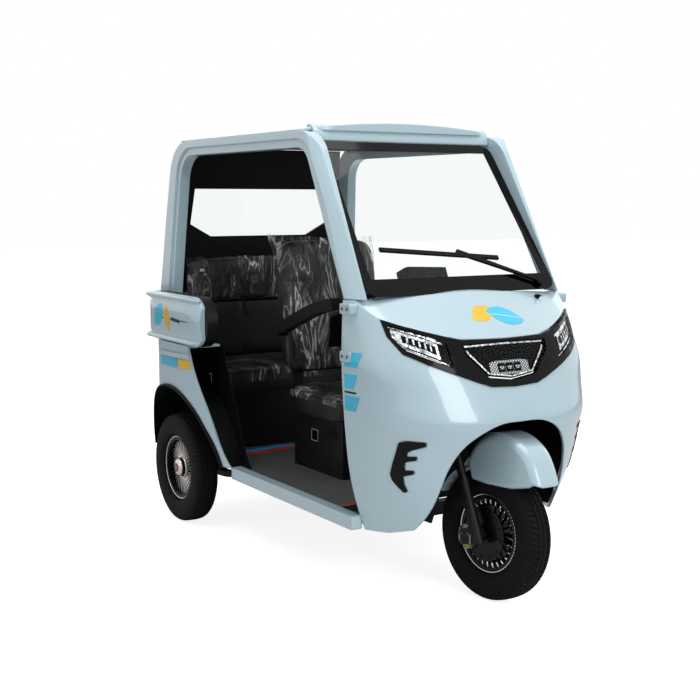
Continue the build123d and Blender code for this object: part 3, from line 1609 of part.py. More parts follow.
# Wiper arm and blade on the screen, across and up from its foot.
wiper_arm = [(350, 20), (330, 20), (8, 150), (20, 165)]
wiper_blade = [(190, 118), (-305, 165), (-305, 180), (190, 133)]
with BuildPart() as wiper:
    with BuildSketch(screen_plane.offset(wiper_lift)):
        for outline in (wiper_arm, wiper_blade):
            with BuildLine():
                Polyline(*outline, close=True)
            make_face()
        with Locations((wiper_pivot_side, wiper_pivot_up)):
            Circle(wiper_boss_radius)
    extrude(amount=wiper_thickness)
    with BuildSketch(screen_plane.offset(surround_thickness + 1)):
        with Locations((wiper_pivot_side, wiper_pivot_up)):
            Circle(wiper_shaft_radius)
    extrude(amount=wiper_thickness)
wiper.part.label = "wiper"
export_step(wiper.part, "parts/wiper.step")
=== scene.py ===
import json
from math import atan2, cos, pi, radians, sin, tan

import bpy
import numpy as np
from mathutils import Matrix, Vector


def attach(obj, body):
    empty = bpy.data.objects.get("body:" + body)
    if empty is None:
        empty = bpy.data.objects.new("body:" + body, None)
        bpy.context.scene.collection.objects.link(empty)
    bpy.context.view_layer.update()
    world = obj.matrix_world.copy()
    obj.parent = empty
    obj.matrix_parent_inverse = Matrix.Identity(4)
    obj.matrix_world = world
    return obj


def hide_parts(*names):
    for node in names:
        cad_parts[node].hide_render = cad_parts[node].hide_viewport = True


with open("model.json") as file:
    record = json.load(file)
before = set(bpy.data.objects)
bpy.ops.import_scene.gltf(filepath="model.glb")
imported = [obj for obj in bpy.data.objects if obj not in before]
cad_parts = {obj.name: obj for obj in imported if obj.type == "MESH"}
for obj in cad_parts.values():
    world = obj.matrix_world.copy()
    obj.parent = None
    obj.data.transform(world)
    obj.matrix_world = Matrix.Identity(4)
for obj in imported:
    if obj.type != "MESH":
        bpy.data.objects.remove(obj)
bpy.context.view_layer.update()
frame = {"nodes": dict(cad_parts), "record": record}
record = frame["record"]
both_sides = (("right", -1), ("left", 1))  # +y is to the left of the vehicle

# ---- colours and shader helpers


def srgb(code):
    """Linear RGBA from an sRGB hex code, by the sRGB transfer curve."""
    levels = np.array([int(code[i:i + 2], 16) / 255 for i in (0, 2, 4)])
    linear = np.where(levels <= 0.04045, levels / 12.92, ((levels + 0.055) / 1.055) ** 2.4)
    return (*linear.tolist(), 1.0)


def grey(level):
    """Linear grey."""
    return (level, level, level, 1.0)


def shade(tree, kind, settings=None, links=None):
    """Adds a shader node: settings are input sockets, attributes or a ramp's stops.

    A link comes from a socket, or from a node's first output.
    """
    made = tree.nodes.new("ShaderNode" + kind)
    for name, value in (settings or {}).items():
        if name == "stops":
            line = made.color_ramp.elements
            line[0].position, line[0].color = value[0]
            line[1].position, line[1].color = value[-1]
            for position, colour in value[1:-1]:
                line.new(position).color = colour
        elif isinstance(name, int) or name in made.inputs:
            made.inputs[name].default_value = value
        else:
            setattr(made, name, value)
    for name, source in (links or {}).items():
        tree.links.new(getattr(source, "outputs", (source,))[0], made.inputs[name])
    return made


def started(name):
    """A new empty material, its tree and its Object coordinates."""
    made = bpy.data.materials.new(name)
    made.use_nodes = True
    tree = made.node_tree
    tree.nodes.clear()
    return made, tree, shade(tree, "TexCoord").outputs["Object"]


def ended(made, kind, settings=None, links=None):
    """The material, with a last shader of this kind on its output."""
    shader = shade(made.node_tree, kind, settings, links)
    shade(made.node_tree, "OutputMaterial", links={"Surface": shader})
    return made


# ---- materials


def toned(tree, place, scale, detail, *stops):
    """Colour that drifts over patches: a noise of this scale, turned into the stops' colours."""
    drift = shade(tree, "TexNoise", {"Scale": scale, "Detail": detail}, {"Vector": place})
    return shade(tree, "ValToRGB", {"stops": stops}, {"Fac": drift})


def painted_panel():
    """Two-coat car paint on moulded panels: pale blue base, hard clear coat with faint orange peel."""
    made, tree, place = started("painted_panel_pale_blue")
    tone = toned(tree, place, 2.2, 2.0, (0.3, srgb("B0CAD4")), (0.7, srgb("B7D0DA")))
    # Edges of the mouldings are eased by about 7 mm, which gives each its soft highlight.
    eased = shade(tree, "Bevel", {"Radius": 0.007, "samples": 6})
    # Orange peel in the clear coat, about 3 mm from crest to crest.
    peel = shade(tree, "TexNoise", {"Scale": 330.0, "Detail": 1.0}, {"Vector": place})
    peel = shade(tree, "Bump", {"Distance": 0.00002}, {"Height": peel, "Normal": eased})
    return ended(
        made, "BsdfPrincipled",
        {"Metallic": 0.0, "Roughness": 0.32, "Coat Weight": 1.0, "Coat Roughness": 0.035, "Coat IOR": 1.5},
        {"Base Color": tone, "Normal": eased, "Coat Normal": peel},
    )


def uneven(tree, place, roughness, spread, patches, grain, depth):
    """Links for a Roughness that varies between two shares over patches, and a Normal with a fine skin."""
    gloss = shade(tree, "TexNoise", {"Scale": patches, "Detail": 4.0}, {"Vector": place})
    low, high = (min(roughness * share, 1.0) for share in spread)
    gloss = shade(tree, "MapRange", {"To Min": low, "To Max": high}, {"Value": gloss})
    skin = shade(tree, "TexNoise", {"Scale": grain, "Detail": 2.0}, {"Vector": place})
    return {"Roughness": gloss, "Normal": shade(tree, "Bump", {"Distance": depth}, {"Height": skin})}


def plastic(name, code, roughness, grain=900.0, depth=0.00008, coat=0.0):
    """Moulded plastic: one colour with a slight drift, a fine moulded grain and uneven gloss."""
    made, tree, place = started(name)
    base = np.array(srgb(code))[:3]
    low, high = ((*(base * level).tolist(), 1.0) for level in (0.86, 1.16))
    tone = toned(tree, place, 6.0, 3.0, (0.3, low), (0.7, high))
    return ended(
        made, "BsdfPrincipled",
        {"IOR": 1.49, "Specular IOR Level": 0.1, "Coat Weight": coat, "Coat Roughness": 0.03},
        {"Base Color": tone, **uneven(tree, place, roughness, (0.85, 1.2), 14.0, grain, depth)},
    )


def metal(name, code, roughness, metallic=1.0, scratch=0.00002):
    """Bare or enamelled metal: even colour, a finely scratched skin, and gloss that varies over centimetres."""
    made, tree, place = started(name)
    return ended(
        made, "BsdfPrincipled",
        {"Base Color": srgb(code), "Metallic": metallic, "Specular IOR Level": 0.5 if metallic > 0.5 else 0.2},
        uneven(tree, place, roughness, (0.7, 1.35), 40.0, 1200.0, scratch),
    )


def rubber():
    """Vulcanised tyre rubber: near black and dull, with a dusting that pales it in patches."""
    made, tree, place = started("tyre_rubber_moulded")
    dust = shade(tree, "TexNoise", {"Scale": 28.0, "Detail": 5.0, "Roughness": 0.65}, {"Vector": place})
    stops = [(0.25, srgb("0B0B0B")), (0.6, srgb("141313")), (0.9, srgb("201E1C"))]
    tone = shade(tree, "ValToRGB", {"stops": stops}, {"Fac": dust})
    skin = shade(tree, "TexNoise", {"Scale": 700.0, "Detail": 3.0}, {"Vector": place})
    skin = shade(tree, "Bump", {"Distance": 0.00015}, {"Height": skin})
    return ended(
        made, "BsdfPrincipled", {"Roughness": 0.72, "IOR": 1.52, "Specular IOR Level": 0.12},
        {"Base Color": tone, "Normal": skin},
    )


def window(name, least, most):
    """Clear glass or acrylic: almost no tint, and mirroring from a least share head-on to a most at grazing."""
    made, tree, _ = started(name)
    clear = shade(tree, "BsdfTransparent", {"Color": (0.96, 0.975, 0.97, 1.0)})
    gloss = shade(tree, "BsdfGlossy", {"Roughness": 0.02, "Color": grey(1.0)})
    # Gloss rises towards grazing views in the same way on both faces of the pane.
    facing = shade(tree, "LayerWeight", {"Blend": 0.5}).outputs["Facing"]
    steep = shade(tree, "Math", {"operation": "POWER", 1: 5.0}, {0: facing})
    share = shade(tree, "MapRange", {"To Min": least, "To Max": most}, {"Value": steep})
    return ended(made, "MixShader", links={0: share, 1: clear, 2: gloss})


def leatherette():
    """Embossed vinyl seat cover: black, satin, with a leather grain about 1.5 mm wide."""
    made, tree, place = started("leatherette_black_embossed")
    cells = {"feature": "DISTANCE_TO_EDGE", "Scale": 620.0}
    grain = shade(tree, "TexVoronoi", cells, {"Vector": place}).outputs["Distance"]
    skin = shade(tree, "Bump", {"Distance": 0.00025}, {"Height": grain})
    tone = toned(tree, place, 9.0, 3.0, (0.3, srgb("090909")), (0.75, srgb("121213")))
    return ended(
        made, "BsdfPrincipled", {"Roughness": 0.42, "IOR": 1.5, "Specular IOR Level": 0.3},
        {"Base Color": tone, "Normal": skin},
    )


def woven(name, dark, light, rib):
    """Needled lining or ribbed mat: two close tones in ribs this wide, in metres, as far apart, with a short fuzz."""
    made, tree, place = started(name)
    waves = {"Scale": 1 / rib / 6.28, "Distortion": 0.6, "Detail": 1.0}
    ribs = shade(tree, "TexWave", waves, {"Vector": place}).outputs["Fac"]
    fuzz = shade(tree, "TexNoise", {"Scale": 260.0, "Detail": 4.0}, {"Vector": place})
    blend = shade(tree, "Math", {"operation": "MULTIPLY"}, {0: ribs, 1: fuzz})
    stops = [(0.05, srgb(dark)), (0.6, srgb(light))]
    tone = shade(tree, "ValToRGB", {"stops": stops}, {"Fac": blend})
    skin = shade(tree, "Bump", {"Distance": 0.0004}, {"Height": blend})
    return ended(
        made, "BsdfPrincipled", {"Roughness": 0.88, "Sheen Weight": 0.15},
        {"Base Color": tone, "Normal": skin},
    )


plating = {"Metallic": 1.0, "Roughness": 0.22}


def hatched_reflector():
    """Plated lamp insert under a hatched lens: bright metal crossed by diagonal bands about 4 mm wide."""
    made, tree, place = started("hatched_lamp_insert")
    bands = []
    for turn in (0.8, -0.8):
        slanted = shade(tree, "Mapping", {"Rotation": (turn, 0.0, 0.0)}, {"Vector": place})
        waves = {"bands_direction": "Y", "Scale": 40.0, "Distortion": 0.0}
        bands.append(shade(tree, "TexWave", waves, {"Vector": slanted}).outputs["Fac"])
    hatch = shade(tree, "Math", {"operation": "MULTIPLY"}, {0: bands[0], 1: bands[1]})
    stops = [(0.1, srgb("6A6F75")), (0.7, srgb("E6E9EC"))]
    tone = shade(tree, "ValToRGB", {"stops": stops}, {"Fac": hatch})
    skin = shade(tree, "Bump", {"Distance": 0.0006}, {"Height": hatch})
    return ended(made, "BsdfPrincipled", plating, {"Base Color": tone, "Normal": skin})


def plated_reflector():
    """Vacuum-plated lamp reflector: bright smooth metal whose colour drifts from grey to near white over a centimetre
    or two, a painted reflection.
    """
    made, tree, place = started("plated_reflector_smooth")
    drift = shade(tree, "TexNoise", {"Scale": 75.0, "Detail": 1.5}, {"Vector": place})
    skin = shade(tree, "Bump", {"Distance": 0.006}, {"Height": drift})
    # Painted reflection: darker and brighter patches in the metal's colour stand in for what the plate mirrors.
    stops = [(0.36, srgb("8C9197")), (0.52, srgb("DCDFE3")), (0.7, srgb("F4F6F8"))]
    tone = shade(tree, "ValToRGB", {"stops": stops}, {"Fac": drift})
    return ended(made, "BsdfPrincipled", plating, {"Base Color": tone, "Normal": skin})


def clear_film():
    """Loose clear polythene: see-through, with painted white highlights along its vertical creases."""
    made, tree, place = started("polythene_film_clear")
    drawn = shade(tree, "Mapping", {"Scale": (5.5, 13.0, 3.0)}, {"Vector": place})
    folds = {"Scale": 1.0, "Detail": 3.0, "Roughness": 0.55, "Distortion": 0.7}
    crease = shade(tree, "TexNoise", folds, {"Vector": drawn})
    skin = shade(tree, "Bump", {"Distance": 0.006}, {"Height": crease})
    # Painted highlights: where the crease noise passes these levels, the film turns from clear to an opaque
    # near-white surface that stands in for glints of light.
    painted_glints = ((0.36, 0.012), (0.43, 0.03), (0.462, 0.42), (0.475, 0.05), (0.520, 0.03), (0.555, 0.20),
              (0.580, 0.95), (0.592, 0.12), (0.640, 0.05), (0.680, 0.70), (0.700, 0.06))
    stops = [(at, grey(level)) for at, level in painted_glints]
    painted_glint_share = shade(tree, "ValToRGB", {"stops": stops}, {"Fac": crease})
    # The painted highlights are broken up into patches a hand wide, where the film stands off the seat.
    spread = {"Scale": (6.0, 9.0, 4.0), "Location": (3.0, 1.0, 2.0)}
    painted_glint_patch = shade(tree, "Mapping", spread, {"Vector": place})
    painted_glint_patch = shade(tree, "TexNoise", {"Scale": 1.0, "Detail": 2.0}, {"Vector": painted_glint_patch})
    stops = [(0.40, grey(0.10)), (0.50, grey(0.45)), (0.60, grey(1.0))]
    painted_glint_patch = shade(tree, "ValToRGB", {"stops": stops}, {"Fac": painted_glint_patch})
    painted_glint_share = shade(tree, "Math", {"operation": "MULTIPLY"}, {0: painted_glint_share, 1: painted_glint_patch})
    clear = shade(tree, "BsdfTransparent", {"Color": grey(0.97)})
    # The painted highlight's own surface: near white, mixed in by the painted glint share.
    painted_glint_surface = shade(
        tree, "BsdfPrincipled",
        {"Base Color": grey(0.92), "Roughness": 0.12, "IOR": 1.5, "Coat Weight": 0.6, "Coat Roughness": 0.05},
        {"Normal": skin},
    )
    return ended(made, "MixShader", links={0: painted_glint_share, 1: clear, 2: painted_glint_surface})


finishes = {
    "body_paint": painted_panel(),
    "gloss_black_trim": plastic("gloss_black_acrylic", "040405", 0.08, grain=90.0, depth=0.00001, coat=0.15),
    "matte_black_plastic": plastic("moulded_black_plastic", "0E0F10", 0.45),
    "black_steel": metal("powder_coated_steel_black", "131415", 0.42, metallic=0.0, scratch=0.0001),
    "rim_black": metal("enamelled_rim_black", "09090A", 0.25, metallic=0.0),
    "tyre_rubber": rubber(),
    "window_glass": window("window_glass_float", 0.012, 0.45),
    "lamp_lens": window("lamp_lens_acrylic", 0.004, 0.25),
    "red_lens": plastic("moulded_acrylic_red", "7A070B", 0.12, grain=200.0, depth=0.0002, coat=1.0),
    "amber_lens": plastic("moulded_acrylic_amber", "C8862F", 0.12, grain=200.0, depth=0.0002, coat=1.0),
    "seat_leatherette": leatherette(),
    "headliner_beige": woven("needled_lining_beige", "8D8075", "A3968A", 0.004),
    "mat_rubber": woven("ribbed_mat_grey", "151617", "28292B", 0.006),
    "mat_blue": plastic("mat_inlay_blue", "3E93CC", 0.6, grain=500.0, depth=0.0002),
    "mat_red": plastic("mat_inlay_red", "D0281F", 0.6, grain=500.0, depth=0.0002),
    "battery_case": plastic("battery_case_abs", "222326", 0.55),
    "caliper_alloy": metal("cast_aluminium_caliper", "8E8F90", 0.45),
    "bright_rim": metal("machined_rim_aluminium", "D6D2CF", 0.2),
    "zinc_bolt": metal("zinc_plated_steel", "55585C", 0.35),
    "brass": metal("brass_fitting", "B08A4A", 0.3),
    "reflector": plated_reflector(),
    "hatched_reflector": hatched_reflector(),
    "lamp_black": plastic("lamp_housing_black", "040405", 0.15, grain=60.0, depth=0.00001),
    "plate_blank": plastic("blank_plate_aluminium", "AEB1B4", 0.35),
    "dome_lamp": plastic("opal_acrylic_lens", "E4E1DA", 0.35, coat=0.5),
    "clear_film": clear_film(),
}
for tone, code in (("amber", "E6B93A"), ("blue", "45BFE2"), ("pale", "D5EAF2"), ("black", "16181B")):
    finishes[f"film_{tone}"] = plastic(f"printed_film_{tone}", code, 0.3, grain=500.0, depth=0.00001, coat=0.6)

slot_of = {part["node"]: part["material_slot"] for part in record["subparts"]}
for node_name, node in frame["nodes"].items():
    for slot in node.material_slots:
        slot.material = finishes[slot_of[node_name]]

# ---- shapes


def quads(rows, columns, wrap_rows=False, wrap_columns=False):
    """Quads (i, j), (i, j+1), (i+1, j+1), (i+1, j) of a rows by columns grid of points."""
    i = np.arange(rows if wrap_rows else rows - 1)[:, None]
    j = np.arange(columns if wrap_columns else columns - 1)[None, :]
    below, right = (i + 1) % rows, (j + 1) % columns
    corners = [i * columns + j, i * columns + right, below * columns + right, below * columns + j]
    return np.stack(np.broadcast_arrays(*corners), -1).reshape(-1, 4)


def put(name, points, faces, finish, body, slot, stands_for=(), smooth=True):
    """Puts an array of points and faces into the scene as one piece, with its finish by name and its body; slot is
    not used.
    """
    mesh = bpy.data.meshes.new(name)
    mesh.from_pydata(np.asarray(points, float).reshape(-1, 3).tolist(), [], np.asarray(faces).tolist())
    mesh.validate()
    if smooth:
        mesh.polygons.foreach_set("use_smooth", np.ones(len(mesh.polygons), bool))
    mesh.materials.append(finishes[finish])
    made = bpy.data.objects.new(name, mesh)
    bpy.context.collection.objects.link(made)
    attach(made, body)
    if stands_for:
        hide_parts(*stands_for)
    return made


def put_grid(name, points, finish, body, slot, wrap_rows=False, wrap_columns=False, flip=False, **more):
    """Puts a rows x columns x 3 grid of points into the scene."""
    faces = quads(*points.shape[:2], wrap_rows, wrap_columns)
    return put(name, points, faces[:, ::-1] if flip else faces, finish, body, slot, **more)


def lay(name, points, finish, slot="body_paint", **more):
    """Puts a thin panel or film on the cab, its faces turned outwards.

    The normal at the middle of the grid is compared with the direction away from a point inside the cab.
    """
    row, column = points.shape[0] // 2, points.shape[1] // 2
    middle = points[row, column]
    normal = np.cross(points[row, column + 1] - middle, points[row + 1, column] - middle)
    inside = np.array([0.2, 0.0, 0.7])
    put_grid(name, points, finish, "cab", slot, flip=bool(normal @ (middle - inside) < 0), **more)


def joined(parts):
    """One array of points and one of quads from several (points, faces) pairs."""
    shift = np.cumsum([0] + [len(points) for points, _ in parts[:-1]])
    return (
        np.concatenate([points for points, _ in parts]),
        np.concatenate([faces + step for (_, faces), step in zip(parts, shift)]),
    )


def resampled(line, count):
    """count points evenly spaced along an open polyline: p(s) by linear interpolation over arc length s."""
    line = np.asarray(line, float)
    run = np.concatenate([[0], np.cumsum(np.linalg.norm(np.diff(line, axis=0), axis=1))])
    at = np.linspace(0, run[-1], count)
    return np.stack([np.interp(at, run, line[:, k]) for k in range(line.shape[1])], -1)


def eased_line(line, count):
    """Points of the Catmull-Rom curve through a line: cubics whose slope at p[i] is (p[i+1] - p[i-1]) / 2."""
    p = np.asarray(line, float)
    p = np.concatenate([[2 * p[0] - p[1]], p, [2 * p[-1] - p[-2]]])
    at = np.linspace(0, len(line) - 1 - 1e-9, count)
    i = at.astype(int)
    t = (at - i)[:, None]
    a, b, c, d = p[i], p[i + 1], p[i + 2], p[i + 3]
    return 0.5 * (2 * b + (c - a) * t + (2 * a - 5 * b + 4 * c - d) * t**2 + (3 * b - a - 3 * c + d) * t**3)


def tube(path, radius):
    """Closed tube round a path: p(s) + r (n cos a + b sin a), n and b across the path's direction."""
    path = np.asarray(path, float)
    along = np.gradient(path, axis=0)
    along /= np.linalg.norm(along, axis=1, keepdims=True)
    # A direction that no path here runs along, so the cross products never vanish.
    askew = np.array([0.13, 0.21, 0.97])
    n = np.cross(along, askew)
    n /= np.linalg.norm(n, axis=1, keepdims=True)
    b = np.cross(along, n)
    turn = np.linspace(0, 2 * pi, 8, endpoint=False)[:, None]
    points = path[:, None] + radius * (n[:, None] * np.cos(turn) + b[:, None] * np.sin(turn))
    first, last = (np.broadcast_to(end, points[:1].shape) for end in (path[0], path[-1]))
    points = np.concatenate([first, points, last])
    return points.reshape(-1, 3), quads(*points.shape[:2], wrap_columns=True)


def rounded_box(centre, half, power=6.0, rows=16, columns=32):
    """Superellipsoid |x/a|^n + |y/b|^n + |z/c|^n = 1 about a centre: a block with soft edges, n = power."""
    v = np.linspace(-pi / 2, pi / 2, rows)[:, None]
    u = np.linspace(-pi, pi, columns, endpoint=False)[None, :]

    def bent(wave):
        return np.sign(wave) * np.abs(wave) ** (2 / power)

    local = np.stack([
        half[0] * bent(np.cos(v)) * bent(np.cos(u)),
        half[1] * bent(np.cos(v)) * bent(np.sin(u)),
        half[2] * bent(np.sin(v)) * np.ones_like(u),
    ], -1)
    return np.asarray(centre) + local.reshape(-1, 3), quads(rows, columns, wrap_columns=True)


joints = {joint["name"]: joint for joint in record["behaviour"]["joints"]}


def wheel_frame(body):
    """Centre, axle, forward and upward directions of a wheel, from its joint."""
    joint = joints[body + "_spin"]
    axle = np.array(joint["axis"]) / np.linalg.norm(joint["axis"])
    forward = np.array([1.0, 0, 0]) - axle[0] * axle
    forward /= np.linalg.norm(forward)
    return np.array(joint["pos_m"]), axle, forward, np.cross(forward, axle)


def turned(body, across, radius, turn):
    """Points c + r (f cos t + u sin t) + s a about a wheel's axle, for arrays s, r and t of one shape."""
    centre, axle, forward, up = wheel_frame(body)
    spoke = forward * np.cos(turn)[..., None] + up * np.sin(turn)[..., None]
    return centre + radius[..., None] * spoke + across[..., None] * axle


# ---- wheels
wheels = ("front_wheel", "rear_right_wheel", "rear_left_wheel")
# Half of the tyre's section from the middle of the tread to the bead: distance across, radius.
tyre_half = np.array([
    (0, .2325), (.012, .2323), (.024, .2316), (.034, .2298), (.0415, .2255), (.0465, .2180), (.0500, .2070),
    (.0520, .1930), (.0524, .1820), (.0515, .1690), (.0480, .1540), (.0425, .1440), (.0370, .1395), (.0330, .1380),
])
tread_half = 0.0435
groove_half, groove_depth = 0.0021, 0.0050
sipe_count, sipe_depth, fine_sipe_depth = 72, 0.0036, 0.0022
sidewall_ribs = ((0.205, 0.0016), (0.160, 0.0018))
tooth_count, tooth_radius, tooth_half = 120, 0.2135, 0.0045


def tyre(body, node):
    """Tyre: the section r(s) turned about the axle, less grooves.

    Over the tread, r falls by the groove's depth where |s - s_k - w(t)| is under its half width, w a zigzag of
    0.7 mm, 60 to a turn. Slanted sipes, 72 to a turn, cut each shoulder, and finer ones cross the middle. Two ribs
    ring each sidewall, e^-((r - r_k) / h_k)^2, and a ring of teeth stands round its shoulder.
    """
    line = eased_line(tyre_half, 48)
    profile = np.concatenate([(line * [-1, 1])[:0:-1], line])
    turn = np.linspace(0, 2 * pi, 720, endpoint=False)[:, None]
    across = profile[:, 0][None, :] * np.ones_like(turn)
    radius = profile[:, 1][None, :] * np.ones_like(turn)
    zigzag = 0.0014 * np.abs((turn * 60 / pi) % 2 - 1) - 0.0007
    tread = np.abs(across) < tread_half
    depth = np.zeros_like(radius)
    for groove in (-0.021, 0.0, 0.021):
        depth = np.maximum(depth, groove_depth * (np.abs(across - groove - zigzag) < groove_half))
    slant = turn + across * 2.2
    sipe = (np.abs((slant * sipe_count / (2 * pi)) % 1 - 0.5) < 0.075) & (np.abs(across) > 0.0235) & tread
    slant = turn - across * 3.0
    fine = (np.abs((slant * sipe_count / (2 * pi)) % 1 - 0.5) < 0.05) & (np.abs(across) < 0.019)
    depth = np.maximum(np.maximum(depth, sipe_depth * sipe), fine_sipe_depth * fine)
    ribs = 0.0009 * sum(np.exp(-(((radius - at) / half) ** 2)) for at, half in sidewall_ribs)
    toothed = np.abs((turn * tooth_count / (2 * pi)) % 1 - 0.5) < 0.2
    teeth = 0.0007 * ((np.abs(radius - tooth_radius) < tooth_half) & toothed)
    bulge = np.sign(across) * (ribs + teeth)
    points = turned(body, across + bulge, radius - depth * tread, turn * np.ones_like(across))
    put_grid(body + "_tyre_skin", points, "tyre_rubber", body, "tyre_rubber", wrap_rows=True,
             stands_for=(node,), smooth=False)


def ring(body, name, profile, finish, slot="rim_black", flip=False):
    """Ring: a closed profile (s, r) turned about the axle."""
    profile = np.asarray(profile)
    turn = np.linspace(0, 2 * pi, 96, endpoint=False)[:, None]
    ones = np.ones((len(turn), len(profile)))
    points = turned(body, profile[:, 0] * ones, profile[:, 1] * ones, turn * ones)
    put_grid(name, points, finish, body, slot, wrap_rows=True, wrap_columns=True, flip=flip)


def bead(middle, half_across, half_radial):
    """Closed oval profile (s, r) about a middle."""
    t = np.linspace(0, 2 * pi, 12, endpoint=False)
    return np.stack([middle[0] + half_across * np.cos(t), middle[1] + half_radial * np.sin(t)], -1)


def spokes(body, name, across, inner, outer, count, half_width, half_depth, lean):
    """Ring of equal bars from radius inner to outer: superellipsoid blocks turned by 2 pi k / count and a lean."""
    centre, axle, forward, up = wheel_frame(body)
    local, faces = rounded_box((0, 0, 0), ((outer - inner) / 2, half_width, half_depth), 4.0, 7, 12)
    bars = []
    for k in range(count):
        turn = 2 * pi * k / count
        out = forward * cos(turn + lean) + up * sin(turn + lean)
        side = -forward * sin(turn + lean) + up * cos(turn + lean)
        root = forward * cos(turn) + up * sin(turn)
        middle = centre + root * (inner + outer) / 2 + axle * across
        bars.append((middle + local @ np.stack([out, side, axle]), faces))
    put(name, *joined(bars), "bright_rim", body, "rim_black")


for wheel, node in zip(wheels, ("front_tyre", "rear_right_tyre", "rear_left_tyre")):
    tyre(wheel, node)
for wheel in wheels:
    for tag, side in both_sides:
        ring(wheel, f"{wheel}_lip_{tag}", bead((side * 0.0334, 0.1352), 0.0016, 0.0032), "bright_rim")
for tag, side in both_sides:
    # Front rim: a ring of short machined bars between dark windows.
    spokes("front_wheel", f"front_rim_bars_{tag}", side * 0.0245, 0.0985, 0.1235, 28, 0.0032, 0.0045, 0.18)
    well = np.array([(0.009, 0.094), (0.014, 0.095), (0.030, 0.1265), (0.030, 0.1272), (0.004, 0.1272)])
    ring("front_wheel", f"front_rim_well_{tag}", well * [side, 1], "rim_black", flip=side > 0)
for wheel, side in (("rear_right_wheel", -1), ("rear_left_wheel", 1)):
    # Rear rim: slender polished spokes and a domed hub cap with a red middle.
    spokes(wheel, f"{wheel}_spokes_fine", side * 0.0135, 0.040, 0.124, 36, 0.0016, 0.0040, 0.10)
    ring(wheel, f"{wheel}_spoke_root", bead((side * 0.016, 0.0435), 0.006, 0.003), "bright_rim")
    dome = np.array([(0.030, 0.0385), (0.037, 0.0372), (0.043, 0.0300), (0.0452, 0.0205), (0.0455, 0.0195),
                     (0.0300, 0.0190)])
    ring(wheel, f"{wheel}_cap", dome * [side, 1], "bright_rim", flip=side > 0)
    red = np.array([(0.0300, 0.0192), (0.0460, 0.0188), (0.0478, 0.0120), (0.0484, 0.0002), (0.0300, 0.0002)])
    ring(wheel, f"{wheel}_cap_middle", red * [side, 1], "red_lens", "red_lens", flip=side > 0)

# ---- nose surface
# The nose's levels: height, reach ahead of the root, half width and power, in metres.
nose_root = 0.430
nose_table = np.array([
    (.230, .400, .422, 1.8), (.350, .430, .446, 2.1), (.473, .440, .462, 2.55), (.590, .466, .470, 2.65),
    (.640, .478, .472, 2.75), (.735, .446, .475, 2.9), (.824, .410, .476, 3.1), (.920, .371, .474, 2.8),
    (1.000, .330, .471, 2.6), (1.080, .265, .467, 2.6),
])
bonnet_radius, bonnet_front, bonnet_front_height = 2.9, 0.800, 0.918
bonnet_slope = atan2(0.139, 0.199)


def nose_level(height):
    """Reach, half width and power at each height: Hermite cubics between the levels, slopes from neighbours."""
    z, rest = nose_table[:, 0], nose_table[:, 1:]
    slope = np.empty_like(rest)
    slope[1:-1] = (rest[2:] - rest[:-2]) / (z[2:] - z[:-2])[:, None]
    slope[0] = (rest[1] - rest[0]) / (z[1] - z[0])
    slope[-1] = (rest[-1] - rest[-2]) / (z[-1] - z[-2])
    height = np.clip(height, z[0], z[-1] - 1e-9)
    i = np.clip(np.searchsorted(z, height, side="right") - 1, 0, len(z) - 2)
    span = (z[i + 1] - z[i])[..., None]
    t = ((height - z[i])[..., None]) / span
    step = rest[i + 1] - rest[i]
    low, high = slope[i] * span, slope[i + 1] * span
    values = rest[i] + t * low + t**2 * (3 * step - 2 * low - high) + t**3 * (low + high - 2 * step)
    return values[..., 0], values[..., 1], values[..., 2]


def nose_front(y, z, lift):
    """Points of the nose in front view: x = root + (a + d)(1 - (|y| / (b + d))^n)^(1/n), d the lift."""
    reach, half, power = nose_level(z)
    share = np.clip(1 - (np.abs(y) / (half + lift)) ** power, 0, 1)
    return np.stack([nose_root + (reach + lift) * share ** (1 / power), y, z], -1)


def nose_side(x, z, side, lift):
    """Points of the nose in side view: |y| = (b + d)(1 - ((x - root) / (a + d))^n)^(1/n)."""
    reach, half, power = nose_level(z)
    share = np.clip(1 - (np.clip(x - nose_root, 0, None) / (reach + lift)) ** power, 0, 1)
    return np.stack([x, side * (half + lift) * share ** (1 / power), z], -1)


def filled(outline, rows, columns):
    """Grid over a closed outline of (lower, upper), two open lines: p(u, v) = (1 - v) low(u) + v high(u)."""
    low, high = (resampled(edge, columns) for edge in outline)
    v = np.linspace(0, 1, rows)[:, None, None]
    return (1 - v) * low + v * high


def bar(start, low_end, high_end, low, high):
    """Outline of a straight bar between two levels: square at its start, cut on the slant at its end."""
    return [(start, low), (low_end, low)], [(start, high), (high_end, high)]


def on_nose(name, outline, lift, finish, slot="lamp_lens", rows=16, columns=48):
    """A thin panel that lies on the nose, lift off it, from an outline in front view."""
    grid = filled(outline, rows, columns)
    lay(name, nose_front(grid[..., 0], grid[..., 1], lift), finish, slot)


def pair_on_nose(name, outline, lift, finish, **more):
    """The same panel on the right and, mirrored, on the left of the nose."""
    for tag, side in both_sides:
        on_nose(f"{name}_{tag}", np.multiply(outline, [side, 1]), lift, finish, **more)


# ---- lamps
headlamp = np.array([[(.230, .832), (.310, .868), (.360, .891), (.384, .925)],
                     [(.235, .905), (.300, .934), (.352, .951), (.389, .963)]])
centre_lamp = np.array([
    [(-.178, .902), (-.170, .868), (-.099, .795), (0, .782), (.099, .795), (.170, .868), (.178, .902)],
    [(-.178, .9021), (-.12, .9035), (-.06, .9045), (0, .9050), (.06, .9045), (.12, .9035), (.178, .9021)],
])


def part_of(outline, left, right, low, high):
    """The share left..right along and low..high across a panel's outline."""
    at = np.linspace(left, right, 24)
    edges = []
    for edge in outline:
        even = resampled(edge, 200)
        edges.append(np.stack([np.interp(at, np.linspace(0, 1, 200), even[:, k]) for k in (0, 1)], -1))
    a, b = edges
    return a + low * (b - a), a + high * (b - a)


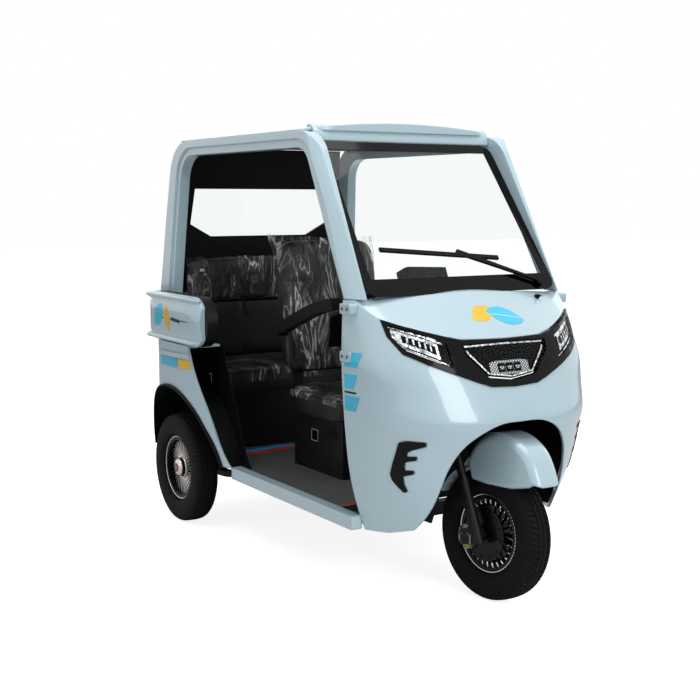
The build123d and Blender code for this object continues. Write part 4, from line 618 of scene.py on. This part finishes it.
pair_on_nose("headlamp_housing", headlamp, -0.0100, "lamp_black")
for name, share, lift, finish, rows in (
    ("reflector", (0.16, 0.97, 0.16, 0.86), -0.0075, "reflector", 16),
    ("brow", (0.05, 0.99, 0.90, 0.985), -0.0040, "reflector", 4),
    ("sill", (0.03, 0.97, 0.02, 0.07), -0.0040, "reflector", 4),
    ("slot", (0.22, 0.80, 0.36, 0.70), -0.0050, "lamp_black", 6),
):
    pair_on_nose(f"headlamp_{name}", part_of(headlamp, *share), lift, finish, rows=rows)
for k, start in enumerate((0.30, 0.40, 0.50, 0.60, 0.70)):
    fin = part_of(headlamp, start, start + 0.030, 0.40, 0.66)
    pair_on_nose(f"headlamp_fin_{k + 1}", fin, -0.0036, "reflector", rows=4, columns=6)
pair_on_nose("headlamp_lens", headlamp, 0.0036, "lamp_lens")

on_nose("centre_lamp_housing", centre_lamp, -0.0100, "lamp_black", rows=24)
brow = (centre_lamp[1] * [0.93, 1] - [0, .0105], centre_lamp[1] * [0.95, 1] - [0, .0055])
on_nose("centre_lamp_brow", brow, -0.0030, "reflector", rows=5)
rim = np.array([(-.165, .880), (-.158, .868), (-.094, .8010), (0, .7885), (.094, .8010), (.158, .868), (.165, .880)])
on_nose("centre_lamp_rim", (rim, rim * [0.972, 1] + [0, .0042]), -0.0030, "reflector", rows=4, columns=72)
# Lower lamp bar: a bright hatched frame round three dark cells, each with a bright chip.
bar_low, bar_high = 0.797, 0.842
corners = ((-.083, .006), (-.052, 0), (.052, 0), (.083, .006))
outline = [(y, bar_low + cut) for y, cut in corners], [(y, bar_high - cut) for y, cut in corners]
on_nose("light_bar_frame", outline, -0.0060, "hatched_reflector")
for k, y in enumerate((-0.0335, 0.0, 0.0335)):
    for name, half, edge, lift, finish in (
        ("cell", .0145, .008, -0.0040, "lamp_black"), ("chip", .0085, .017, -0.0032, "hatched_reflector"),
    ):
        outline = bar(y - half, y + half, y + half, bar_low + edge, bar_high - edge)
        on_nose(f"light_bar_{name}_{k + 1}", outline, lift, finish, rows=6, columns=10)
lens = filled(centre_lamp, 24, 64)
lay("centre_lamp_lens", nose_front(lens[..., 0], lens[..., 1], 0.0036), "lamp_lens", "lamp_lens",
    stands_for=("front_lamps",))

# ---- decals and small body pieces


def leaf(centre, length, width, turn):
    """Lower and upper edges of a leaf: width / 2 sin(pi t)^0.75 either side of a middle line turned by an angle."""
    t = np.linspace(0, 1, 28)
    belly = width / 2 * np.sin(pi * t) ** 0.75
    along = (t - 0.5) * length
    spin = np.array([[cos(turn), sin(turn)], [-sin(turn), cos(turn)]])
    return [np.stack([along, sign * belly], -1) @ spin + centre for sign in (-1, 1)]


def on_bonnet(name, outline, lift, finish):
    """A film on the bonnet from an outline given as (y, x).

    The bonnet is a slope crowned across: z = z0 + (x0 - x) tan a - (r - (r^2 - y^2)^(1/2)) / cos a + lift.
    """
    grid = filled(outline, 12, 28)
    x, y = grid[..., 1], grid[..., 0]
    drop = bonnet_radius - np.sqrt(bonnet_radius**2 - y**2)
    z = bonnet_front_height + (bonnet_front - x) * tan(bonnet_slope) - drop / cos(bonnet_slope) + lift
    lay(name, np.stack([x, y, z], -1), finish)


on_bonnet("bonnet_leaf_amber", leaf((-0.012, 0.698), 0.118, 0.062, radians(-25)), 0.0007, "film_amber")
on_bonnet("bonnet_leaf_blue", leaf((0.078, 0.712), 0.142, 0.078, radians(18)), 0.0010, "film_blue")
vein = np.array([(0.022, 0.702), (0.134, 0.722)])
on_bonnet("bonnet_leaf_vein", (vein, vein + [0, 0.0025]), 0.0014, "film_pale")

for name, outline, lift, finish, rows in (
    ("side_bar_1", bar(0.545, 0.608, 0.628, 0.822, 0.872), 0.0008, "film_blue", 10),
    ("side_bar_2", bar(0.545, 0.592, 0.612, 0.748, 0.798), 0.0008, "film_blue", 10),
    ("side_bar_3", bar(0.545, 0.602, 0.622, 0.674, 0.724), 0.0008, "film_blue", 10),
    ("side_line_dark", bar(0.545, 0.604, 0.607, 0.733, 0.7395), 0.0009, "film_black", 4),
):
    grid = filled(outline, rows, 16)
    for tag, side in both_sides:
        lay(f"{name}_{tag}", nose_side(grid[..., 0], grid[..., 1], side, lift), finish)

# Screws of the hinge pads: domed heads on each pad's two holes.
screws = []
for mount in record["mounts"]:
    if mount["name"].startswith("door_hinges"):
        for offset in ((-0.015, 0, -0.080), (-0.015, 0, 0.080), (0.015, 0, -0.080), (0.015, 0, 0.080)):
            middle = np.array(mount["pos_m"]) + offset
            screws.append(rounded_box(middle, (0.0058, 0.0026, 0.0058), 2.6, 9, 16))
put("hinge_pad_screws", *joined(screws), "zinc_bolt", "cab", "body_paint")

# ---- side pods
pod_rear, pod_front, pod_corner = -0.958, -0.416, 0.030
pod_middle_z, pod_half_z = 0.883, 0.103
# Sections from the outline inwards: share of the outline, distance from the centre plane.
pod_core = [(1.0, 0.474), (1.0, 0.514), (0.97, 0.522), (0.5, 0.524), (0.02, 0.524)]
pod_shell = [(0.30, 0.512), (0.90, 0.514), (0.985, 0.518), (1.0, 0.526), (0.99, 0.534), (0.93, 0.5395),
             (0.80, 0.5475), (0.62, 0.5545), (0.40, 0.5585), (0.20, 0.5597), (0.02, 0.5600)]
lip_root = 0.528
pod_lip = np.array([(lip_root, 0.022), (0.5500, 0.021), (0.5590, 0.017), (0.5600, 0.013), (0.5570, 0.007),
                    (0.540, -0.004)])


def pod_outline():
    """Side view of a pod: square at the rear with cut corners, half round in front, as evenly spaced points."""
    top, low = pod_middle_z + pod_half_z, pod_middle_z - pod_half_z
    turn = np.linspace(-pi / 2, pi / 2, 60)
    front = np.array([pod_front - pod_half_z, pod_middle_z]) + pod_half_z * np.stack([np.cos(turn), np.sin(turn)], -1)
    back = np.array([(pod_rear + pod_corner, top), (pod_rear, top - pod_corner),
                     (pod_rear, low + pod_corner), (pod_rear + pod_corner, low)])
    return resampled(np.concatenate([front, back, front[:1]]), 200)[:-1]


def on_pod(outline, side, rows, columns):
    """Points of a film on a pod's shell: y follows the shell's bulge over height, 0.6 mm off it."""
    grid = filled(outline, rows, columns)
    share = 1 - (pod_half_z - np.abs(grid[..., 1] - pod_middle_z)) / pod_half_z
    bulge = np.array(pod_shell[5:])[::-1]
    y = np.interp(share, bulge[:, 0], bulge[:, 1])
    return np.stack([grid[..., 0], side * (y + 0.0006), grid[..., 1]], -1)


def pod(tag, side):
    """Side pod: a black padded core, and outside it a pale shell that bulges between two sharp lips.

    Core and shell are rings c + (p - c) k(s) at depths y(s), p the outline about its middle c, with k and y from
    their sections; k takes the same width off all round. A lip is its section carried along x, tapering in front.
    """
    outline = pod_outline()
    middle = np.array([(pod_rear + pod_front) / 2, pod_middle_z])
    size = np.array([(pod_front - pod_rear) / 2, pod_half_z])
    for name, rings, finish, slot, kept in (
        ("core", pod_core, "seat_leatherette", "seat_leatherette", ()),
        ("shell", pod_shell, "body_paint", "body_paint", ("side_pods",)),
    ):
        rings = eased_line(rings, 60)
        scale = (size - (1 - rings[:, :1]) * pod_half_z) / size
        line = middle + (outline - middle)[None] * scale[:, None, :]
        if name == "shell":
            line[..., 0] = np.minimum(line[..., 0], pod_front - 0.022)
        depth = np.broadcast_to(side * rings[:, 1:], line.shape[:2])
        points = np.stack([line[..., 0], depth, line[..., 1]], -1)
        put_grid(f"pod_{name}_{tag}", points, finish, "cab", slot, wrap_columns=True, flip=side < 0, stands_for=kept)
    x = np.linspace(pod_rear + 0.006, pod_front - 0.040, 60)[:, None]
    taper = np.clip((x[-1] - x) / 0.060, 0, 1) ** 0.6
    for name, z, tilt in (("upper", pod_middle_z + 0.078, 1), ("lower", pod_middle_z - 0.074, -1)):
        grid = np.stack([
            x * np.ones(len(pod_lip)),
            side * (lip_root + (pod_lip[:, 0] - lip_root) * (0.35 + 0.65 * taper)),
            z + tilt * pod_lip[:, 1] * (0.6 + 0.4 * taper),
        ], -1)
        put_grid(f"pod_lip_{name}_{tag}", grid, "body_paint", "cab", "body_paint", flip=side * tilt > 0)
    for name, centre, length, width, lean in (
        ("blue", (-0.820, 0.893), 0.120, 0.082, 0.9), ("amber", (-0.735, 0.885), 0.118, 0.058, 1.9),
    ):
        points = on_pod(leaf(centre, length, width, lean), side, 10, 28)
        lay(f"pod_leaf_{name}_{tag}", points, f"film_{name}")
    outline = [(-0.690, 0.878), (-0.600, 0.872)], [(-0.690, 0.892), (-0.606, 0.886)]
    lay(f"pod_bar_{tag}", on_pod(outline, side, 4, 8), "film_black")


for tag, side in both_sides:
    pod(tag, side)

# ---- rear quarters
# The quarter's plan: x and half width, from the door opening to the back.
quarter_plan = eased_line([
    (-.250, .456), (-.360, .478), (-.480, .522), (-.620, .543), (-.780, .546), (-.900, .528), (-.972, .480),
    (-1.004, .400),
], 400)

# Bars on the quarter, y(x) of its plan moved out by a lift; each is (rear, front) below and above.
for name, low, high, lift, finish in (
    ("ledge", [(-0.850, 0.722), (-0.545, 0.728)], [(-0.850, 0.740), (-0.560, 0.746)], 0.006, "body_paint"),
    ("blue", [(-0.846, 0.678), (-0.665, 0.680)], [(-0.846, 0.716), (-0.665, 0.718)], 0.0015, "film_blue"),
    ("amber", [(-0.655, 0.680), (-0.550, 0.684)], [(-0.655, 0.718), (-0.556, 0.721)], 0.0015, "film_amber"),
):
    grid = filled((low, high), 8, 40)
    y = np.interp(-grid[..., 0], -quarter_plan[:, 0], quarter_plan[:, 1]) + lift
    for tag, side in both_sides:
        lay(f"quarter_bar_{name}_{tag}", np.stack([grid[..., 0], side * y, grid[..., 1]], -1), finish)

# ---- seats
# Section of a cushion from the middle of its underside to the middle of its top: share of the plan, height.
cushion_section = np.array([
    (0, -1.0), (.5, -1.0), (.93, -1.0), (.975, -.97), (.992, -.85), (1.0, -.5), (1.0, 0), (.994, .28), (.986, .40),
    (.968, .46), (.966, .50), (.984, .54), (.978, .62), (.955, .72), (.91, .80), (.83, .875), (.68, .94),
    (.45, .985), (0, 1.0),
])
cushion_top = cushion_section[:10:-1]
cushion_power = 7.0
welt_height, pucker_height = 0.62, 0.0007
channel_depth, channel_half = 0.0055, 0.006
stitch_row, stitch_height = 0.012, 0.0006
film_gap, film_step = 0.0025, 0.005


def plan_share(across, along):
    """How far out a place lies in a cushion's plan, (|x/a|^7 + |y/b|^7)^(1/7): 0 at the middle, 1 at the edge."""
    return (np.abs(across) ** cushion_power + np.abs(along) ** cushion_power) ** (1 / cushion_power)


def cushion(name, centre, half, axes, channels, node, pull=0.02):
    """Padded cushion: rings of a superellipse |x/a|^7 + |y/b|^7 = 1 carried up the cushion section.

    The middle of each side pulls in by pull (1 - |sin 2u|). The top sinks by depth e^-(d / half)^2 along each sewn
    channel, given as (0 or 1 for the axis it crosses, place along it), with rows of stitches beside it. The cover
    puckers by height sin 48u next to the welt.
    """
    section = eased_line(cushion_section, 84)
    u = np.linspace(0, 2 * pi, 288, endpoint=False)[None, :]
    share, height = section[:, :1], section[:, 1:]
    reach = share / plan_share(np.cos(u), np.sin(u))
    soft = 1 - pull * (1 - np.abs(np.sin(2 * u))) * np.exp(-((height - 0.3) / 0.7) ** 2)
    x = half[0] * reach * np.cos(u) * soft
    y = half[1] * reach * np.sin(u) * soft
    pucker = pucker_height * np.sin(48 * u) * np.exp(-(((height - welt_height) / 0.10) ** 2))
    z = half[2] * height * np.ones_like(u) + pucker
    # Channels fade out towards the cushion's edge and stay on its top.
    sewn = (height > 0.6) * np.clip((1 - share) / 0.10, 0, 1)
    for axis, at in channels:
        gap = (x, y)[axis] - at
        z = z - channel_depth * np.exp(-((gap / channel_half) ** 2)) * sewn
        beside = np.exp(-(((np.abs(gap) - stitch_row) / channel_half) ** 2))
        z = z + stitch_height * np.sin((x, y)[1 - axis] * 700) * beside * sewn
    points = np.asarray(centre) + np.stack([x, y, z], -1) @ np.asarray(axes)
    made = put_grid(name, points, "seat_leatherette", "cab", "seat_leatherette", wrap_columns=True,
                    stands_for=(node,))


level = np.eye(3)
upright = np.array([[0, 0, -1], [0, 1, 0], [1, 0, 0]], float)
lean = radians(8)
leaning = np.array([[sin(lean), 0, -cos(lean)], [0, 1, 0], [cos(lean), 0, sin(lean)]])
# Each pad: its middle, its half sizes, and its own axes.
driver_seat = ((-.100, 0, .583), (.200, .225, .055), level)
driver_back = ((-.3392, 0, .9438), (.270, .225, .040), leaning)
bench_seat = ((-.7775, 0, .609), (.1225, .392, .056), level)
bench_low = ((-.9115, 0, .806), (.126, .391, .0385), upright)
bench_high = ((-.9115, 0, 1.030), (.092, .391, .0455), upright)
cushion("driver_cushion_cover", *driver_seat, [(0, -.07), (0, .06)], "driver_cushion")
cushion("driver_backrest_cover", *driver_back, [(0, -.10), (0, .09)], "driver_backrest", pull=.015)
cushion("bench_cushion_cover", *bench_seat, [(1, -.13), (1, .13)], "bench_cushion", pull=.01)
cushion("bench_backrest_cover_low", *bench_low, [(1, -.13), (1, .13)], "bench_backrest", pull=.01)
cushion("bench_backrest_cover_high", *bench_high, [], "bench_backrest", pull=.01)


def crumple(u, v, seed):
    """Creases of a loose film, 0 to 1: ridges (1 - |sin|)^3 of seeded waves that mostly run along v."""
    draw = np.random.default_rng(seed)
    total, weights = np.zeros(np.broadcast(u, v).shape), 0
    for _ in range(26):
        turn = draw.normal(0, 0.35) if draw.random() < 0.7 else draw.uniform(0, pi)
        pitch = draw.uniform(0.035, 0.12)
        wave = (u * cos(turn) + v * sin(turn)) / pitch + draw.uniform(0, 1)
        weight = draw.uniform(0.3, 1.0) * pitch
        bend = 0.8 * np.sin(v / 0.11 + draw.uniform(0, 6))
        total += weight * (1 - np.abs(np.sin(pi * wave + bend))) ** 3
        weights += weight
    return total / weights * 3


def film(name, place, spans, seed, depth=0.008, flare=None):
    """Clear film over a cushion: on top it lies on the cushion's crown; past an edge it turns down the side.

    Over the plan, z = c h(x/a, y/b) + creases; beyond the edge at a, x stays at a and z falls by x - a.
    """
    centre, half, axes = place
    (x0, x1), (y0, y1) = spans
    rows, columns = max(int((x1 - x0) / film_step), 20), max(int((y1 - y0) / film_step), 20)
    u = np.linspace(x0, x1, rows)[:, None] * np.ones(columns)
    v = np.linspace(y0, y1, columns)[None, :] * np.ones((rows, 1))
    over_x, over_y = np.clip(np.abs(u) - half[0], 0, None), np.clip(np.abs(v) - half[1], 0, None)
    out = film_gap + depth * crumple(v, u, seed)
    x = np.clip(u, -half[0], half[0]) + np.sign(u) * out * (over_x > 0)
    y = np.clip(v, -half[1], half[1]) + np.sign(v) * out * (over_y > 0)
    share = plan_share(np.clip(u / half[0], -.985, .985), np.clip(v / half[1], -.985, .985))
    crown = np.interp(share, cushion_top[:, 0], cushion_top[:, 1])
    z = half[2] * np.where(over_x + over_y > 0, welt_height, crown) + out - over_x - over_y
    if flare is not None:
        x, y, z = flare(u, v, x, y, z)
    local = np.stack([x, y, z], -1)
    made = put_grid(name, np.asarray(centre) + local @ np.asarray(axes), "clear_film", "cab", "window_glass")


def corner_flare(u, v, x, y, z):
    """The film's top outer corner stands off the backrest in a stiff point."""
    share = np.clip((-u - 0.13) / 0.14, 0, 1) * np.clip((-v - 0.03) / 0.22, 0, 1)
    return x - 0.020 * share, y - 0.055 * share, z + 0.012 * share


film("driver_backrest_film", driver_back, ((-.283, .262), (-.238, .223)), 3, .010,
     corner_flare)
film("driver_cushion_film", driver_seat, ((-.16, .245), (-.255, .255)), 5, .007)
film("bench_cushion_film", bench_seat, ((-.09, .175), (-.400, .400)), 8)
film("bench_backrest_film_high", bench_high, ((-.105, .088), (-.396, .396)), 11)
put("seat_tag_blank", *rounded_box((-.8645, -.332, 1.072), (.0012, .0115, .006), 8), "plate_blank", "cab",
    "caliper_alloy")

# ---- floor, lining and controls
mat_top, mat_half = .2990, .398
for name, x, width, wave, finish in (
    ("blue", -.640, .050, .010, "mat_blue"), ("red", -.585, .034, .010, "mat_red"),
    ("red_front", .395, .012, .0, "mat_red"),
):
    # Inlaid stripe across the floor mat: x(y) = x0 + wave sin(y / 45 mm), its edges sunk into the mat.
    y = np.linspace(-mat_half, mat_half, 160)
    middle = x + wave * np.sin(y / 0.045)
    edges = ((-1, mat_top - .0008), (-.92, mat_top), (.92, mat_top), (1, mat_top - .0008))
    lines = [np.stack([middle + share * width / 2, y, z * np.ones_like(y)], -1) for share, z in edges]
    put_grid(f"mat_stripe_{name}", np.stack(lines), finish, "cab", "mat_rubber", flip=True)

put("roof_lamp_opal", *rounded_box((-.330, 0, 1.5965), (.055, .032, .0055), 4, 20, 40), "dome_lamp", "cab",
    "headliner_beige")

# A blank plate in a thin bright frame on the side of the driver's seat box.
put("seat_box_plate", *rounded_box((-.058, -.2352, .463), (.024, .0012, .022), 9), "lamp_black", "cab",
    "gloss_black_trim")
edge = resampled([(-.034, .441), (-.082, .441), (-.082, .485), (-.034, .485), (-.034, .441)], 80)
edge = np.stack([edge[:, 0], np.full(80, -.2362), edge[:, 1]], -1)
put("seat_box_plate_frame", *tube(edge, .0011), "plate_blank", "cab", "caliper_alloy")

# ---- caliper fittings
# Each piece: name, finish, and its soft-edged blocks, each a middle and then half sizes.
for name, finish, *blocks in (
    ("bolts", "zinc_bolt", (.672, -.0735, .238, .0075, .0035, .0075), (.716, -.0735, .226, .0075, .0035, .0075),
     (.680, -.0735, .186, .0065, .0035, .0065)),
    ("hose_fitting", "brass", (.712, -.0740, .184, .011, .0055, .0065), (.697, -.0745, .181, .0050, .0060, .0050)),
    ("ribs", "caliper_alloy", (.669, -.0745, .212, .0045, .0030, .024), (.683, -.0745, .212, .0040, .0030, .020),
     (.727, -.0740, .206, .0040, .0030, .022)),
):
    built = joined([rounded_box(block[:3], block[3:], 3.2, 10, 20) for block in blocks])
    put(f"caliper_{name}", *built, finish, "steering", "caliper_alloy")

# ---- back and bonnet edge
lamp_half_y, lamp_half_z, lamp_z = .034, .080, .700
for tag, side in both_sides:
    # Tail lamp: a dark bezel round a ribbed lens, amber over red.
    middle = side * .330
    edge = resampled([(lamp_half_y, lamp_half_z), (lamp_half_y, -lamp_half_z), (-lamp_half_y, -lamp_half_z),
                      (-lamp_half_y, lamp_half_z), (lamp_half_y, lamp_half_z)], 160)
    edge = np.stack([np.full(160, -1.0215), middle + edge[:, 0], lamp_z + edge[:, 1]], -1)
    put(f"tail_lamp_bezel_{tag}", *tube(edge, .0026), "lamp_black", "cab", "gloss_black_trim")
    for name, finish, low, high in (("ribs", "red_lens", .632, .735), ("amber", "amber_lens", .744, .771)):
        ribs = [rounded_box((-1.0225, middle, z), (.0020, .029, .0028), 3, 7, 16) for z in np.arange(low, high, .009)]
        put(f"tail_lamp_{name}_{tag}", *joined(ribs), finish, "cab", "red_lens")

# Washer jet: a block on the bonnet's rear edge, with its nozzle in front.
jet = joined([rounded_box((.621, .300, 1.030), (.008, .0085, .0085), 3.5, 12, 24),
              rounded_box((.634, .300, 1.033), (.009, .0045, .0035), 3, 9, 18)])
put("washer_jet", *jet, "lamp_black", "cab", "gloss_black_trim")

# ---- stage, light and camera


def rays(tree, *kinds):
    """1 for rays of any of these kinds, 0 for others: the largest of Light Path's outputs."""
    path = shade(tree, "LightPath").outputs
    share = path[kinds[0]]
    for kind in kinds[1:]:
        share = shade(tree, "Math", {"operation": "MAXIMUM"}, {0: share, 1: path[kind]}).outputs[0]
    return share


def studio_floor_paper():
    """Matt paper: white to the camera and through glass, with the object's shadow kept."""
    made, tree, _ = started("studio_floor_paper")
    seen = rays(tree, "Is Camera Ray", "Is Transmission Ray")
    lift = shade(tree, "Math", {"operation": "MULTIPLY", 1: 0.84}, {0: seen})
    look = {"Base Color": grey(0.80), "Roughness": 0.9, "Specular IOR Level": 0.1, "Emission Color": grey(1.0)}
    return ended(made, "BsdfPrincipled", look, {"Emission Strength": lift})


floor_mesh = bpy.data.meshes.new("studio_floor")
floor_mesh.from_pydata([(-30, -30, 0), (30, -30, 0), (30, 30, 0), (-30, 30, 0)], [], [(0, 1, 2, 3)])
floor_mesh.materials.append(studio_floor_paper())
floor = bpy.data.objects.new("studio_floor", floor_mesh)
bpy.context.collection.objects.link(floor)

# The world is white to the camera, through glass and in reflections, and a dim fill to everything else.
world = bpy.data.worlds.new("studio_world")
world.use_nodes = True
tree = world.node_tree
tree.nodes.clear()
fill = shade(tree, "Background", {"Color": (0.95, 0.97, 1.0, 1.0), "Strength": 0.28})
white = shade(tree, "Background", {"Color": grey(1.0), "Strength": 1.0})
seen = rays(tree, "Is Camera Ray", "Is Transmission Ray", "Is Glossy Ray")
mixed = shade(tree, "MixShader", links={0: seen, 1: fill, 2: white})
shade(tree, "OutputWorld", links={"Surface": mixed})


def soft_box(name, at, target, size, power):
    """A square studio lamp that faces its target."""
    lamp = bpy.data.lights.new(name, "AREA")
    lamp.shape = "RECTANGLE"
    lamp.size, lamp.size_y = size
    lamp.energy = power
    made = bpy.data.objects.new(name, lamp)
    made.location = at
    made.rotation_euler = (Vector(target) - Vector(at)).to_track_quat("-Z", "Y").to_euler()
    bpy.context.collection.objects.link(made)


soft_box("soft_box_top", (0.4, -0.6, 5.2), (0, 0, 0.6), (5.0, 4.0), 195)
soft_box("soft_box_right", (0.8, -5.2, 2.6), (0, 0, 0.8), (3.2, 2.4), 8)
soft_box("soft_box_front", (5.6, 0.2, 2.6), (0.3, 0, 0.8), (2.4, 2.6), 92)
soft_box("soft_box_left", (-0.5, 5.0, 3.0), (0, 0, 0.8), (3.0, 2.4), 30)

# The camera stands ahead of the vehicle's right front corner, turned back towards it and a little down.
view_turn, view_fall = radians(32.017), radians(7.034)
camera_data = bpy.data.cameras.new("camera")
camera_data.lens = 62.21
camera_data.sensor_width = 36.0
camera = bpy.data.objects.new("camera", camera_data)
camera.location = (3.9665, -2.5901, 1.3732)
camera.rotation_euler = (pi / 2 - view_fall, 0.0, pi / 2 - view_turn)
bpy.context.collection.objects.link(camera)
scene = bpy.context.scene
scene.world = world
scene.camera = camera
scene.view_settings.view_transform = "Standard"
